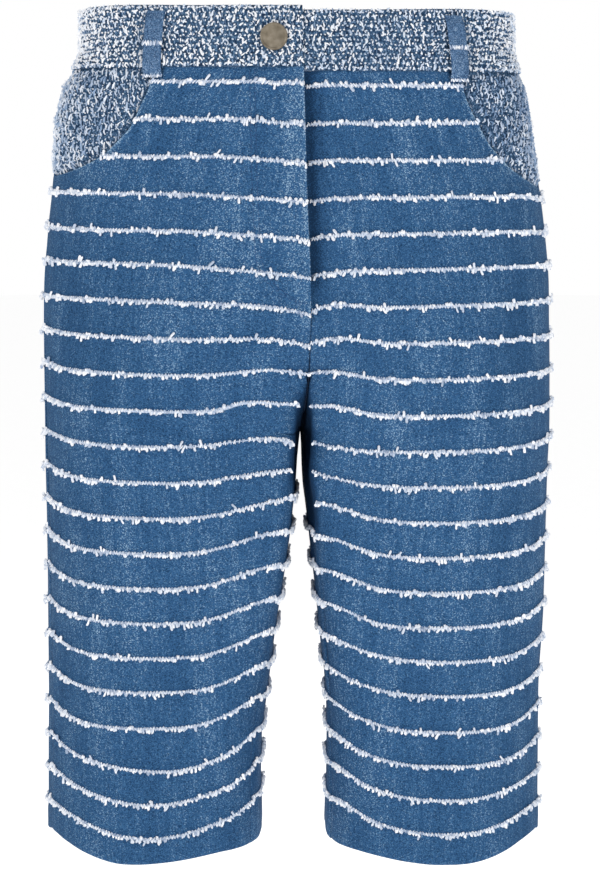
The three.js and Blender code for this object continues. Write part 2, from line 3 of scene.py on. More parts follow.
import bpy
import numpy as np
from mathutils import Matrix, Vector


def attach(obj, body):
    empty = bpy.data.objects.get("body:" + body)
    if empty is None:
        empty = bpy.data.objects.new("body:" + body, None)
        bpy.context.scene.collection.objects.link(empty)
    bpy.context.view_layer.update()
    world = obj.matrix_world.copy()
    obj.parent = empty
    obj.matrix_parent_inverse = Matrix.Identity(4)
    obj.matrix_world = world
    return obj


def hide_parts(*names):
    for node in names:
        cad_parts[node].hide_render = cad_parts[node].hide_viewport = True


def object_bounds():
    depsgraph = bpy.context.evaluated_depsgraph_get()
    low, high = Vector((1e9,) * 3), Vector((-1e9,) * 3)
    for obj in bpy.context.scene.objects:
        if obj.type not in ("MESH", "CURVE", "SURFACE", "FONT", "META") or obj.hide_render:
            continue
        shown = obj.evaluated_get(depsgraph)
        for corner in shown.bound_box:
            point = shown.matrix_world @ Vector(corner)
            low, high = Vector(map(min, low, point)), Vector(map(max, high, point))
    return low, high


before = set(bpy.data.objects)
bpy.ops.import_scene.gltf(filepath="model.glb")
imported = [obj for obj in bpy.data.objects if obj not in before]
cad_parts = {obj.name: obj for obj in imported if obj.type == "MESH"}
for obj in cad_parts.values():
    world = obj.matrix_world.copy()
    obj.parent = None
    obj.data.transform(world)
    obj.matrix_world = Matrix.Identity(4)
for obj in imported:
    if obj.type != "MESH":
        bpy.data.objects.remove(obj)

CAD_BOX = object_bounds()

bl_info = {
    "name": "Bermuda shorts",
    "version": (1, 0, 0),
    "blender": (4, 5, 0),
    "location": "3D View > Sidebar > Shorts",
    "description": "Dresses the packed shorts in denim, frayed bands, tweed, loops, button and stitching",
    "category": "Object",
}

# The garment's form is worked out in millimetres. A "drop" is a distance down from the waist's top
# edge, and s is a distance along the cloth of one half, from its centre front (or its inseam) round
# by the side to its centre back. Meshes are made in metres, in the frame's axes.
MM = 0.001
BAND_HEIGHT = 39.5
ORIGIN_DROP = BAND_HEIGHT / 2
HEM_DROP = 587.6
CROTCH_DROP = 286.0
# The CAD leaves 0.3 mm at each seam. The cloth here closes it, so that no light shows through.
SEAM_GAP = 0.04
DENIM = 1.5
TWEED = 2.4
HEM_FOLD = 2.7
HEM_TURNING = 19.0
LEFT_SLIP = 2.8
FLY_DROP = 186.0
# The left front runs on under the fly by this much, and the left waistband under the lap.
FLY_UNDER = 12
LAP = 38.0
# The two halves draw together from this drop down to the crotch.
CLOSING_DROP = 225
# The waistband's outer face stands this far off the bare form. Its length is taken at mid height.
BAND_FACE = 2.3
BAND_MIDDLE = 20.0
BAND_COUNT = 22
BAND_WIDTH = 3.6
BAND_RELIEF = 1.4
STRIPES = {"right": (49.3, 24.5), "left": (52.0, 24.45)}
MIRROR = {"right": -1.0, "left": 1.0}
SIDES = ("right", "left")

BODY = (
    "drop right left front back apex",
    (0, 149.4, 147, -97, 97, 0),
    (12, 149.6, 147.6, -98.5, 99, 0),
    (26, 149.6, 147.8, -100, 102, 2),
    (40, 155.5, 152, -101, 105, 4),
    (54, 164, 158, -102.5, 108, 6),
    (80, 169.8, 163, -104.5, 113, 11),
    (110, 171.8, 168, -106.5, 119, 17),
    (150, 176.2, 174, -108.3, 126, 27),
    (190, 179.4, 178, -109, 129, 42),
    (230, 180.2, 178.9, -107.5, 127, 64),
    (260, 180.2, 179.3, -105.5, 122, 78),
    (286, 180.2, 179.6, -103, 116, 86),
    (320, 180, 178.6, -100.5, 109, 90),
    (360, 179.6, 177.8, -97.5, 103.5, 92),
    (420, 179.9, 177, -93, 97, 96),
    (480, 180.1, 174.4, -89, 92.5, 100),
    (530, 181, 174.5, -86, 89.5, 102),
    (HEM_DROP, 182, 175, -84, 87, 103),
)
INNER = (
    "drop right left",
    (CROTCH_DROP, 0.6, 0.9),
    (296, 1.0, 1.8),
    (316, 1.6, 2.8),
    (330, 2.4, 3.6),
    (344, 4.0, 5.4),
    (361, 6.0, 7.6),
    (396, 11.0, 11.8),
    (426, 15.3, 14.6),
    (456, 19.2, 17.4),
    (486, 23.2, 19.6),
    (515, 26.2, 20.4),
    (545, 26.6, 20.4),
    (HEM_DROP, 26, 19.2),
)
RISE = (
    "drop front back",
    (0, -97, 97),
    (40, -101, 105),
    (110, -106.3, 118.5),
    (190, -107.5, 125),
    (225, -103, 112),
    (246, -92, 92),
    (262, -74, 68),
    (274, -50, 45),
    (282, -22, 24),
    (CROTCH_DROP, 7.8, 8.2),
)
SHAPE = (
    "drop outer inner sideY sideSeam lean",
    (0, 2.45, 1.2, 0, 6, 3),
    (120, 2.25, 1.3, 4, 12, 6.2),
    (190, 2.2, 1.35, 6, 23, 8.8),
    (240, 2.18, 1.8, 5.5, 28, 7.6),
    (CROTCH_DROP, 2.15, 2.1, 5, 32, 3),
    (340, 2.1, 2.08, 4.5, 32, 0),
    (400, 2.05, 2.05, 4, 32, 0),
    (HEM_DROP, 2.02, 2.02, 3, 32, 0),
)
# How far forward of the middle of the inner leg the inseam runs, round the leg.
INSEAM = (
    "drop right left",
    (CROTCH_DROP, 0, 0),
    (294, 30, 30),
    (304, 54, 54),
    (320, 80, 80),
    (344, 94, 86),
    (361, 94, 84),
    (380, 90, 82),
    (400, 85, 78),
    (428, 77, 67),
    (450, 72, 60),
    (480, 67, 53),
    (510, 61, 49),
    (HEM_DROP, 61, 49),
)
# How far the fronts' inner edges stand back from the innermost line of the backs.
SET_BACK = (
    "drop right left",
    (243, 0, 0),
    (252, 5, 0.6),
    (261, 5.3, 1.8),
    (273, 4.2, 3.6),
    (CROTCH_DROP, 3.3, 4.3),
    (310, 2, 3.4),
    (335, 0.2, 6),
    (350, 0, 5.5),
    (365, 0, 4),
    (400, 0, 2),
    (HEM_DROP, 0, 1),
)
# Where the inner legs come out of the deep shelter under the crotch, and where their painted shade ends.
SHELTER_END = {"right": 328.0, "left": 362.0}
# How much more sharply than the backs the fronts turn in at the inner leg, as they hang flat.
CORNER = (
    "drop turn",
    (240, 0),
    (255, 4),
    (275, 9),
    (300, 11),
    (350, 10),
    (380, 7),
    (430, 4),
    (500, 2),
    (HEM_DROP, 1.5),
)
# The twill's diagonal, from the cloth's upright.
TWILL_TURN = math.radians(28)
FRONT_SWAY = (
    "drop side inner dip",
    (40, 0, 0, 0),
    (60, 0.3, 0, 2),
    (125, 0.5, 0, 5),
    (200, 0.6, 0, 6.5),
    (225, 1, 3, 6),
    (250, 1.6, 5.5, 6),
    (CROTCH_DROP, 2.6, 7, 7),
    (325, 4.5, 7.5, 5.5),
    (370, 6, 8, 1.5),
    (430, 6, 8.3, 0),
    (545, 7.5, 9, 0),
    (575, 9, 8.2, 0),
    (HEM_DROP, 10, 7.5, 0),
)
BACK_SWAY = (
    "drop middle",
    (40, 0),
    (120, 4),
    (240, 7),
    (300, 9),
    (360, 15),
    (560, 17),
    (575, 14),
    (HEM_DROP, 7.5),
)
MOUTH = {
    "right": (
        "drop s",
        (40, 97),
        (55, 101.5),
        (66, 107.5),
        (77, 113),
        (88, 124),
        (99, 139),
        (105, 156),
        (110, 180),
        (113.5, 226),
    ),
    "left": (
        "drop s",
        (42, 111),
        (56, 114.5),
        (66, 119),
        (77, 126),
        (89, 134),
        (100, 146),
        (110, 163),
        (117, 186),
        (121.5, 222),
    ),
}

# Rises and sags of the bands on the fronts: side, from drop, to drop, share across the front from its
# middle, half-width as a share, and rise. Each fades in and out over WAVE_FADE.
WAVE_FADE = 24.0
FRONT_WAVES = (
    ("right", 50, 190, 0.14, 0.14, -2.5),
    ("right", 160, 490, 0.6, 0.4, 2.5),
    ("right", 215, 545, 0.95, 0.15, 2.5),
    ("right", 225, 285, 0.1, 0.12, 3),
    ("right", 260, 284, 0.24, 0.08, 5),
    ("right", 282, 306, 0.38, 0.08, 6),
    ("right", 308, 330, 0.22, 0.1, 5),
    ("right", 320, 515, 0.04, 0.17, 11),
    ("right", 515, 575, 0, 0.1, 6),
    ("right", 500, 575, 0.38, 0.24, -6),
    ("left", 190, 260, 0.05, 0.12, 5),
    ("left", 150, 480, 0.55, 0.4, 1.5),
    ("left", 108, 150, 0.95, 0.12, -3.5),
    ("left", 262, 285, 0.16, 0.14, 5),
    ("left", 285, 306, 0.27, 0.08, 5),
    ("left", 310, 575, 0.08, 0.13, 9.5),
    ("left", 430, 520, 0.25, 0.12, 2.5),
    ("left", 380, 520, 0.95, 0.12, 2),
)

# Soft troughs and ridges: side, from (s, drop) to (s, drop), half-width, depth.
FRONT_FOLDS = (
    ("left", 5, 40, 4, 208, 7.5, -5.2),
    ("right", 31, 60, 29, 160, 5, -0.9),
    ("right", 29, 160, 8, 200, 5, -0.9),
    ("right", 22, 208, 70, 236, 9, -1.6),
    ("left", 20, 216, 66, 240, 9, -1.4),
    ("right", 52, 330, 44, 470, 16, -1.8),
    ("left", 50, 330, 48, 460, 15, -1.8),
    ("right", 150, 430, 142, HEM_DROP, 14, -1.5),
    ("left", 142, 440, 150, HEM_DROP, 13, -1.7),
    ("right", 170, 150, 150, 300, 18, -1.2),
    ("left", 168, 150, 152, 290, 18, -1.3),
)
BACK_FOLDS = (
    ("right", 40, 262, 150, 292, 11, -3.2),
    ("left", 38, 268, 158, 298, 11, -3.0),
    ("right", 70, 300, 168, 326, 10, -2.0),
    ("left", 66, 306, 176, 328, 10, -2.1),
    ("right", 120, 350, 150, HEM_DROP, 18, -2.6),
    ("left", 132, 344, 140, HEM_DROP, 18, -2.4),
    ("right", 230, 400, 236, HEM_DROP, 15, -1.8),
    ("left", 226, 410, 240, HEM_DROP, 15, -1.9),
)


def linear(text):
    """An sRGB hex colour as linear red, green, blue and alpha."""
    parts = [int(text[k : k + 2], 16) / 255 for k in (1, 3, 5)]
    made = [c / 12.92 if c <= 0.04045 else ((c + 0.055) / 1.055) ** 2.4 for c in parts]
    return (*made, 1.0)


def clamp01(v):
    return np.clip(v, 0.0, 1.0)


def smooth(v):
    t = clamp01(v)
    return t * t * (3 - 2 * t)


def through(x, y):
    """A smooth curve through a table's column, with no overshoot between its rows."""
    h = np.diff(x)
    slope = np.diff(y) / h
    tangent = np.zeros_like(y)
    tangent[0], tangent[-1] = slope[0], slope[-1]
    for k in range(1, len(x) - 1):
        if slope[k - 1] * slope[k] > 0:
            w1 = 2 * h[k] + h[k - 1]
            w2 = h[k] + 2 * h[k - 1]
            tangent[k] = (w1 + w2) / (w1 / slope[k - 1] + w2 / slope[k])

    def at(drop):
        d = np.clip(drop, x[0], x[-1])
        i = np.clip(np.searchsorted(x, d, side="left") - 1, 0, len(x) - 2)
        t = (d - x[i]) / h[i]
        return (
            (2 * t**3 - 3 * t**2 + 1) * y[i]
            + (t**3 - 2 * t**2 + t) * h[i] * tangent[i]
            + (3 * t**2 - 2 * t**3) * y[i + 1]
            + (t**3 - t**2) * h[i] * tangent[i + 1]
        )

    return at


def columns(table):
    """A curve for each named column of a table."""
    names = table[0].split()
    values = np.array(table[1:], float)
    return {n: through(values[:, 0], values[:, k]) for k, n in enumerate(names) if k}


body, inner, rise = columns(BODY), columns(INNER), columns(RISE)
shape, front_sway, back_sway = columns(SHAPE), columns(FRONT_SWAY), columns(BACK_SWAY)
inseam, set_back, corner = columns(INSEAM), columns(SET_BACK), columns(CORNER)["turn"]
mouth_line = {side: columns(MOUTH[side])["s"] for side in SIDES}
MOUTH_END = {side: MOUTH[side][-1][0] for side in SIDES}


def quarter(cx, cy, ax, ay, power_x, power_y, steps):
    """A quarter of a superellipse from (cx + ax, cy) to (cx, cy + ay)."""
    angle = np.linspace(0, math.pi / 2, steps + 1)
    c = np.cos(angle)
    c[-1] = 0
    return np.stack(
        [cx + ax * c ** (2 / power_x), cy + ay * np.sin(angle) ** (2 / power_y)], 1
    )


class Half:
    """One half of the shorts' bare surface, sampled over drops and distances round it."""

    DROP_STEP = 0.5
    S_STEP = 1.0
    PAST = 70.0
    INNER_STEPS = 96
    OUTER_STEPS = 160

    def __init__(self, side):
        self.side = side
        self.mirror = MIRROR[side]
        self.drops = np.arange(-6, HEM_DROP + 6, self.DROP_STEP)
        made = [self.section(d) for d in self.drops]
        self.totals = np.array([m[1][-1] for m in made])
        self.fronts = np.array([m[2] for m in made])
        self.s = np.arange(-self.PAST, self.totals.max() + self.PAST, self.S_STEP)
        self.grid = np.zeros((len(self.drops), len(self.s), 2))
        for row, (drop, (points, lengths, _)) in enumerate(zip(self.drops, made)):
            total = lengths[-1]
            flip = np.ones_like(self.s)
            if drop >= CROTCH_DROP:
                along = np.mod(self.s, total)
            else:
                along = np.where(self.s < 0, -self.s, self.s)
                along = np.where(self.s > total, 2 * total - self.s, along)
                flip[(self.s < 0) | (self.s > total)] = -1
            self.grid[row, :, 0] = flip * np.interp(along, lengths, points[:, 0])
            self.grid[row, :, 1] = np.interp(along, lengths, points[:, 1])

    def section(self, drop):
        split = drop >= CROTCH_DROP
        closing = clamp01((drop - CLOSING_DROP) / (CROTCH_DROP - CLOSING_DROP))
        start = INNER[1][1 if self.side == "right" else 2]
        touch = SEAM_GAP / 2 + (start - SEAM_GAP / 2) * closing
        x_in = float(inner[self.side](drop)) if split else float(touch)
        y_mid = 8 - 4 * clamp01((drop - CROTCH_DROP) / (HEM_DROP - CROTCH_DROP))
        front_end = y_mid if split else rise["front"](drop)
        back_end = y_mid if split else rise["back"](drop)
        x_out = body[self.side](drop)
        apex = max(body["apex"](drop), x_in + 1)
        front, back = body["front"](drop), body["back"](drop)
        side_y, n, m = shape["sideY"](drop), shape["outer"](drop), shape["inner"](drop)
        near, far = self.INNER_STEPS, self.OUTER_STEPS
        sharp = m + float(corner(drop))
        ahead = front - front_end
        inner_front = quarter(apex, front_end, x_in - apex, ahead, 0.5 * sharp + 1.1, sharp, near)
        forward = (front_end - inner_front[:, 1]) / max(-ahead, 1)
        inward = (apex - inner_front[:, 0]) / (apex - x_in)
        inner_front[:, 0] += set_back[self.side](drop) * smooth((forward - 0.4) / 0.3) * inward
        outer_front = quarter(apex, side_y, x_out - apex, front - side_y, n, n, far)
        outer_back = quarter(apex, side_y, x_out - apex, back - side_y, n, n, far)
        inner_back = quarter(apex, back_end, x_in - apex, back - back_end, 2.1, m, near)
        points = np.concatenate(
            [inner_front, outer_front[::-1][1:], outer_back[1:], inner_back[::-1][1:]]
        )
        steps = np.hypot(*np.diff(points, axis=0).T)
        lengths = np.concatenate([[0], np.cumsum(steps)])
        return points, lengths, lengths[near + far]

    def total(self, drop):
        return np.interp(drop, self.drops, self.totals)

    def side_seam(self, drop):
        return np.interp(drop, self.drops, self.fronts) - shape["sideSeam"](drop)

    def from_side(self, drop, s):
        """A distance along the cloth from the outer side, which runs evenly past the crotch."""
        return s - np.interp(drop, self.drops, self.fronts)

    def upright(self, front, u, low, high):
        """How far s moves from one drop to another, at a share u, along the cloth's upright."""
        wider = np.interp(high, self.drops, self.fronts) - np.interp(low, self.drops, self.fronts)
        if front:
            return wider * smooth(u / 0.2)
        longer = self.total(high) - self.total(low)
        return wider + (longer - wider) * smooth((u - 0.7) / 0.3)

    def bare(self, drop, s):
        r = (drop - self.drops[0]) / self.DROP_STEP
        c = (s - self.s[0]) / self.S_STEP
        i = np.clip(np.floor(r).astype(int), 0, len(self.drops) - 2)
        j = np.clip(np.floor(c).astype(int), 0, len(self.s) - 2)
        a, b = (r - i)[..., None], (c - j)[..., None]
        g = self.grid
        xy = (1 - a) * ((1 - b) * g[i, j] + b * g[i, j + 1]) + a * (
            (1 - b) * g[i + 1, j] + b * g[i + 1, j + 1]
        )
        return np.stack([self.mirror * xy[..., 0], xy[..., 1], -drop], -1)

    def place(self, drop, s, lift, with_normal=False):
        """The place lifted off the bare surface along its normal, in millimetres."""
        drop, s, lift = np.broadcast_arrays(
            np.asarray(drop, float), np.asarray(s, float), np.asarray(lift, float)
        )
        reach = 0.8
        here = self.bare(drop, s)
        along = self.bare(drop, s + reach) - self.bare(drop, s - reach)
        down = self.bare(drop + reach, s) - self.bare(drop - reach, s)
        normal = np.cross(down, along) * self.mirror
        normal /= np.linalg.norm(normal, axis=-1, keepdims=True)
        here = here + normal * lift[..., None]
        past = (drop < CROTCH_DROP) & ((s < 0) | (s > self.total(drop)))
        held = self.mirror * np.maximum(SEAM_GAP / 2, self.mirror * here[..., 0])
        x = np.where(past, here[..., 0], held)
        lean = shape["lean"](drop) * np.exp(-((x / 45) ** 2)) * smooth(-here[..., 1] / 60)
        out = np.stack([x + lean, here[..., 1], here[..., 2] + ORIGIN_DROP], -1)
        return (out, normal) if with_normal else out


HALF = {side: Half(side) for side in SIDES}


def slip(side, s):
    """How far below nominal the left side hangs: all of it in front, none at the centre back."""
    return LEFT_SLIP * smooth((430 - s) / 200) if side == "left" else np.zeros_like(s)


def pressed(folds, side, s, drop):
    """The sum of one side's folds at a place."""
    total = np.zeros(np.broadcast(s, drop).shape)
    for fold_side, s0, drop0, s1, drop1, half, depth in folds:
        if fold_side != side:
            continue
        ds, dd = s1 - s0, drop1 - drop0
        length = math.hypot(ds, dd)
        t = ((s - s0) * ds + (drop - drop0) * dd) / length**2
        across = ((s - s0) * dd - (drop - drop0) * ds) / length
        fade = smooth((t + 0.12) / 0.3)
        if drop1 < HEM_DROP:
            fade = fade * smooth((1.12 - t) / 0.3)
        total += depth * fade * np.exp(-((across / half) ** 2))
    return total


def rumple(s, drop, size_s, size_drop, seed):
    """Soft uneven rises from -1 to 1, about the given sizes apart."""
    table = np.random.default_rng(seed).uniform(-1, 1, (64, 64))
    x, y = np.asarray(s) / size_s + 7, np.asarray(drop) / size_drop + 7
    i, j = np.floor(x).astype(int), np.floor(y).astype(int)
    a, b = smooth(x - i), smooth(y - j)
    i0, i1, j0, j1 = i % 64, (i + 1) % 64, j % 64, (j + 1) % 64
    return (1 - a) * ((1 - b) * table[i0, j0] + b * table[i0, j1]) + a * (
        (1 - b) * table[i1, j0] + b * table[i1, j1]
    )


class Panel:
    """A denim panel: where a share across it and a nominal row lie, and how far it is lifted."""

    def __init__(self, side, front):
        self.side, self.front, self.half = side, front, HALF[side]
        self.first, self.pitch = STRIPES[side]
        self.seed = 11 + 2 * SIDES.index(side) + front

    def raised(self, u, row):
        """How far a front's band stands above its plain sway."""
        total = np.zeros(np.broadcast(u, row).shape)
        for side, start, end, share, half, rise in FRONT_WAVES:
            if side == self.side:
                fade = smooth((row - start) / WAVE_FADE + 0.5) * smooth((end - row) / WAVE_FADE + 0.5)
                total = total + rise * fade * np.exp(-(((u - share) / half) ** 2))
        return total

    def sway(self, u, row):
        if self.front:
            hem = smooth((row - 500) / 60)
            at_inner = clamp01(1 - 2 * u) ** 2 * (1 - hem) + smooth((0.5 - u) / 0.38) * hem
            at_side = (
                clamp01((u - 0.65) / 0.35) ** 2 * (1 - hem) + smooth((u - 0.53) / 0.42) * hem
            )
            return (
                front_sway["dip"](row) * clamp01(1 - u / 0.2) ** 2
                - front_sway["inner"](row) * at_inner
                - front_sway["side"](row) * at_side
                - self.raised(u, row)
            )
        at_side = front_sway["side"](row) * (1 - clamp01(u / 0.2)) ** 2
        return -at_side - back_sway["middle"](row) * smooth((u - 0.3) / 0.7)

    def ends(self, row, drop):
        half = self.half
        if not self.front:
            start = half.side_seam(drop) + SEAM_GAP / 2
            total = half.total(drop)
            forward = inseam[self.side](drop) - SEAM_GAP / 2
            return start, np.where(drop < CROTCH_DROP, total, total + forward)
        under = FLY_UNDER * smooth((FLY_DROP + 16 - drop) / 18) if self.side == "left" else 0 * drop
        start = np.where(drop < CROTCH_DROP, -under, inseam[self.side](drop) + SEAM_GAP / 2)
        seam = half.side_seam(drop) - SEAM_GAP / 2
        last = row + self.sway(np.ones_like(row), row)
        mouth = np.minimum(seam, mouth_line[self.side](last))
        return start, np.where(last >= MOUTH_END[self.side], seam, mouth)

    def off_band(self, row):
        """How far a row is from the middle of the nearest band."""
        return np.mod(row - self.first + self.pitch / 2, self.pitch) - self.pitch / 2

    def line(self, u, row):
        """The drop and s of a share across the panel on a nominal row."""
        drop = row + self.sway(u, row)
        start, end = self.ends(row, drop)
        s = start * (1 - u) + end * u
        if self.side == "left":
            drop = drop + slip(self.side, s) * (1 - smooth((row - BAND_HEIGHT) / 10))
        return drop, s

    def lift(self, s, drop):
        """How far the cloth stands off the bare form, without the bands."""
        if self.front:
            if self.side == "right":
                ledge = 2.9 * smooth((20 - s) / 19) * smooth((FLY_DROP + 46 - drop) / 60)
            else:
                ledge = -1.5 * smooth((6 - s) / 6) * smooth((FLY_DROP + 6 - drop) / 12)
            folds = pressed(FRONT_FOLDS, self.side, s, drop)
        else:
            ledge = 0
            folds = pressed(BACK_FOLDS, self.side, self.half.total(drop) - s, drop)
        calm = smooth((drop - 44) / 30)
        t = self.half.from_side(drop, s)
        soft = 0.75 * rumple(t, drop, 30, 95, self.seed)
        soft = soft + 0.22 * rumple(t, drop, 12, 40, self.seed + 40)
        return ledge + folds + soft * calm

    def worn(self, u, s, drop):
        """From -1, darkened by painted shade in troughs, the fly's recess and between the legs, to 1,
        where the cloth rubs pale.
        """
        # Ridges of the cloth rub paler; its troughs are darkened, which is painted shade.
        level = 0.16 * np.clip(self.lift(s, drop), -3, 1.5)
        if self.front:
            mouth = smooth((MOUTH_END[self.side] - drop) / 4) * smooth((u - 0.985) / 0.012)
            level = level + 0.9 * mouth
            if self.side == "right":
                level = level + 0.5 * smooth((2.5 - s) / 2) * smooth((FLY_DROP - drop) / 20)
            else:
                # Painted shadow: the left front darkened in the recess under the fly's edge.
                level = level - 1.1 * smooth((9 - s) / 6) * smooth((FLY_DROP + 8 - drop) / 30)
        # Painted shade: the cloth darkened deep between the legs, close under the crotch.
        level = level - 1.4 * self.between_legs(s, drop)
        return level + 0.5 * smooth((drop - HEM_DROP + 2) / 2)

    def between_legs(self, s, drop):
        """Near 1 deep between the legs, close under the crotch, where the cloth gets painted shade and no
        bands.
        """
        place = self.half.bare(drop, s)
        deep = smooth((place[..., 1] - body["front"](drop) - 8) / 6) * smooth((50 - place[..., 1]) / 20)
        near = smooth((18 - np.abs(place[..., 0])) / 6)
        end = SHELTER_END[self.side]
        return deep * near * smooth((drop - 241) / 6) * smooth((end - drop) / 20)

    def bare_of_bands(self, s, drop):
        if self.front and self.side == "left":
            return np.where(drop < FLY_DROP + 6, smooth((1.2 - s) / 1.2), 0.0)
        return np.zeros_like(s)

    def rows(self):
        """Nominal rows, closest at the bands, the hem and the turn under the crotch."""
        fixed = [BAND_HEIGHT + SEAM_GAP]
        for k in range(BAND_COUNT):
            middle = self.first + k * self.pitch
            fixed += [middle + d for d in (-3.4, -1.9, 0, 1.9, 3.4)]
        fixed += [HEM_DROP - d for d in (HEM_TURNING, HEM_TURNING - 1.5, HEM_TURNING - 3, 1.0, 0)]
        u = 0.0 if self.front else 1.0
        for edge in (262, 269, 274, 278.5, 280.7, 282.5, 284, 285.2, CROTCH_DROP, 287, 290):
            row = edge
            for _ in range(14):
                row = edge - float(self.sway(np.array(u), np.array(float(row))))
            fixed.append(row)
        if self.front:
            end = MOUTH_END[self.side]
            fixed += [end - d for d in (12, 9.5, 7.5, 5.8, 4.2, 3, 2, 1.2, 0.6, 0.2, 0)]
        fixed = sorted(fixed)
        rows = []
        for low, high in zip(fixed, fixed[1:]):
            count = max(1, round((high - low) / 3.2))
            rows += [low + (high - low) * k / count for k in range(count)]
        rows.append(fixed[-1])
        kept = [rows[0]]
        for row in rows[1:]:
            if row - kept[-1] > 0.12:
                kept.append(row)
        kept[-1] = HEM_DROP
        return np.array(kept)


PANELS = {
    ("front_" if front else "back_") + side: Panel(side, front)
    for side in SIDES
    for front in (True, False)
}


def mesh_piece(name, points, faces, materials, uv=None, attributes=None, material_of=None):
    """A piece on the frame's root from points in millimetres, with an optional map and attributes."""
    quads = [np.asarray(f, np.int32) for f in faces if len(f)]
    mesh = bpy.data.meshes.new(name)
    mesh.vertices.add(len(points))
    mesh.vertices.foreach_set("co", (np.asarray(points) * MM).astype(np.float32).ravel())
    loops = np.concatenate([q.ravel() for q in quads])
    sizes = np.concatenate([np.full(len(q), q.shape[1], np.int32) for q in quads])
    mesh.loops.add(len(loops))
    mesh.loops.foreach_set("vertex_index", loops)
    mesh.polygons.add(len(sizes))
    first = np.concatenate([[0], np.cumsum(sizes)[:-1]]).astype(np.int32)
    mesh.polygons.foreach_set("loop_start", first)
    for material in materials:
        mesh.materials.append(material)
    if material_of is not None:
        mesh.polygons.foreach_set("material_index", np.asarray(material_of, np.int32))
    mesh.update(calc_edges=True)
    mesh.validate()
    if uv is not None:
        layer = mesh.uv_layers.new(name="cloth")
        layer.data.foreach_set("uv", (np.asarray(uv)[loops] * MM).astype(np.float32).ravel())
    for key, values in (attributes or {}).items():
        made = mesh.attributes.new(key, "FLOAT", "POINT")
        made.data.foreach_set("value", np.asarray(values, np.float32))
    piece = bpy.data.objects.new(name, mesh)
    bpy.context.scene.collection.objects.link(piece)
    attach(piece, "root")
    return piece


def shade(piece, degrees=40):
    bpy.ops.object.select_all(action="DESELECT")
    piece.select_set(True)
    bpy.context.view_layer.objects.active = piece
    bpy.ops.object.shade_smooth_by_angle(angle=math.radians(degrees))


def signed_volume(points, quads):
    a, b, c, d = (points[quads[:, k]] for k in range(4))
    return np.einsum("ij,ij->i", a, np.cross(b, c) + np.cross(c, d)).sum()


def shell(outer, inside):
    """Points and quads of a closed wall between two sheets of rows, and the number of the first
    quad of its inner sheet."""
    rows, width = outer.shape[:2]
    points = np.concatenate([outer.reshape(-1, 3), inside.reshape(-1, 3)])
    r, c = np.meshgrid(np.arange(rows - 1), np.arange(width - 1), indexing="ij")
    at = (r * width + c).ravel()
    top = np.stack([at, at + width, at + width + 1, at + 1], 1)
    across, down = np.arange(width - 1), np.arange(rows - 1) * width
    far, off = (rows - 1) * width, rows * width
    rims = (
        (across, across + 1),
        (across + far + 1, across + far),
        (down + width, down),
        (down + width - 1, down + 2 * width - 1),
    )
    edges = [np.stack([a, b, b + off, a + off], 1) for a, b in rims]
    quads = np.concatenate([top, *edges, top[:, ::-1] + off])
    if signed_volume(points, quads) < 0:
        quads = quads[:, ::-1]
    inside_from = len(top) + sum(len(e) for e in edges)
    return points, quads, inside_from


def wall_piece(name, outer, inside, across, down, keys, node_name, marks=None):
    """A closed wall of cloth, mapped by distances across and down it, in the place of a node."""
    points, quads, inside_from = shell(outer, inside)
    piece = mesh_piece(
        name,
        points,
        [quads],
        [material(key) for key in keys],
        uv=np.tile(np.stack([across.ravel(), down.ravel()], 1), (2, 1)),
        attributes=marks,
        material_of=np.minimum(np.arange(len(quads)) >= inside_from, len(keys) - 1),
    )
    shade(piece)
    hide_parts(node_name)
    return piece


def strands(paths, normals, radii, shades=None):
    """Closed tapered tubes along paths (n, k, 3), flat side to the cloth, with radii (n, k) and,
    where they are given, each strand's shade for each of its points."""
    n, k = paths.shape[:2]
    sides = 3
    direction = np.gradient(paths, axis=1)
    direction /= np.linalg.norm(direction, axis=-1, keepdims=True) + 1e-9
    beside = np.cross(direction, normals[:, None, :])
    beside /= np.linalg.norm(beside, axis=-1, keepdims=True) + 1e-9
    above = np.cross(beside, direction)
    turn = math.pi / 2 + 2 * math.pi * np.arange(sides) / sides
    ring = beside[:, :, None] * np.cos(turn)[:, None] + above[:, :, None] * np.sin(turn)[:, None]
    points = paths[:, :, None] + ring * radii[:, :, None, None]
    first = (np.arange(n) * k * sides)[:, None, None]
    level = (np.arange(k - 1) * sides)[None, :, None]
    edge = np.arange(sides)[None, None, :]
    nxt = (edge + 1) % sides
    near, far = first + level, first + level + sides
    quads = np.stack([near + edge, near + nxt, far + nxt, far + edge], -1).reshape(-1, 4)
    starts = (np.arange(n) * k * sides)[:, None]
    corners = np.arange(sides)
    caps = np.concatenate([starts + corners[::-1], starts + (k - 1) * sides + corners])
    points = points.reshape(-1, 3)
    if signed_volume(points, quads) < 0:
        quads, caps = quads[:, ::-1], caps[:, ::-1]
    lot = (points, quads, caps)
    return lot if shades is None else (*lot, np.repeat(shades, k * sides))


def joined(lots):
    """Several lots of shaded strands as one."""
    starts = np.cumsum([0] + [len(lot[0]) for lot in lots])
    points, shades = (np.concatenate([lot[k] for lot in lots]) for k in (0, 3))
    quads, caps = (
        np.concatenate([lot[k] + start for lot, start in zip(lots, starts)]) for k in (1, 2)
    )
    return points, quads, caps, shades


def strand_piece(name, lot, key):
    """A piece of yarn or thread from a lot of strands, with their shades if they have any."""
    points, quads, caps, *shades = lot
    marks = {"shade": shades[0]} if shades else None
    piece = mesh_piece(name, points, [quads, caps], [material(key)], attributes=marks)
    shade(piece, 60)
    return piece


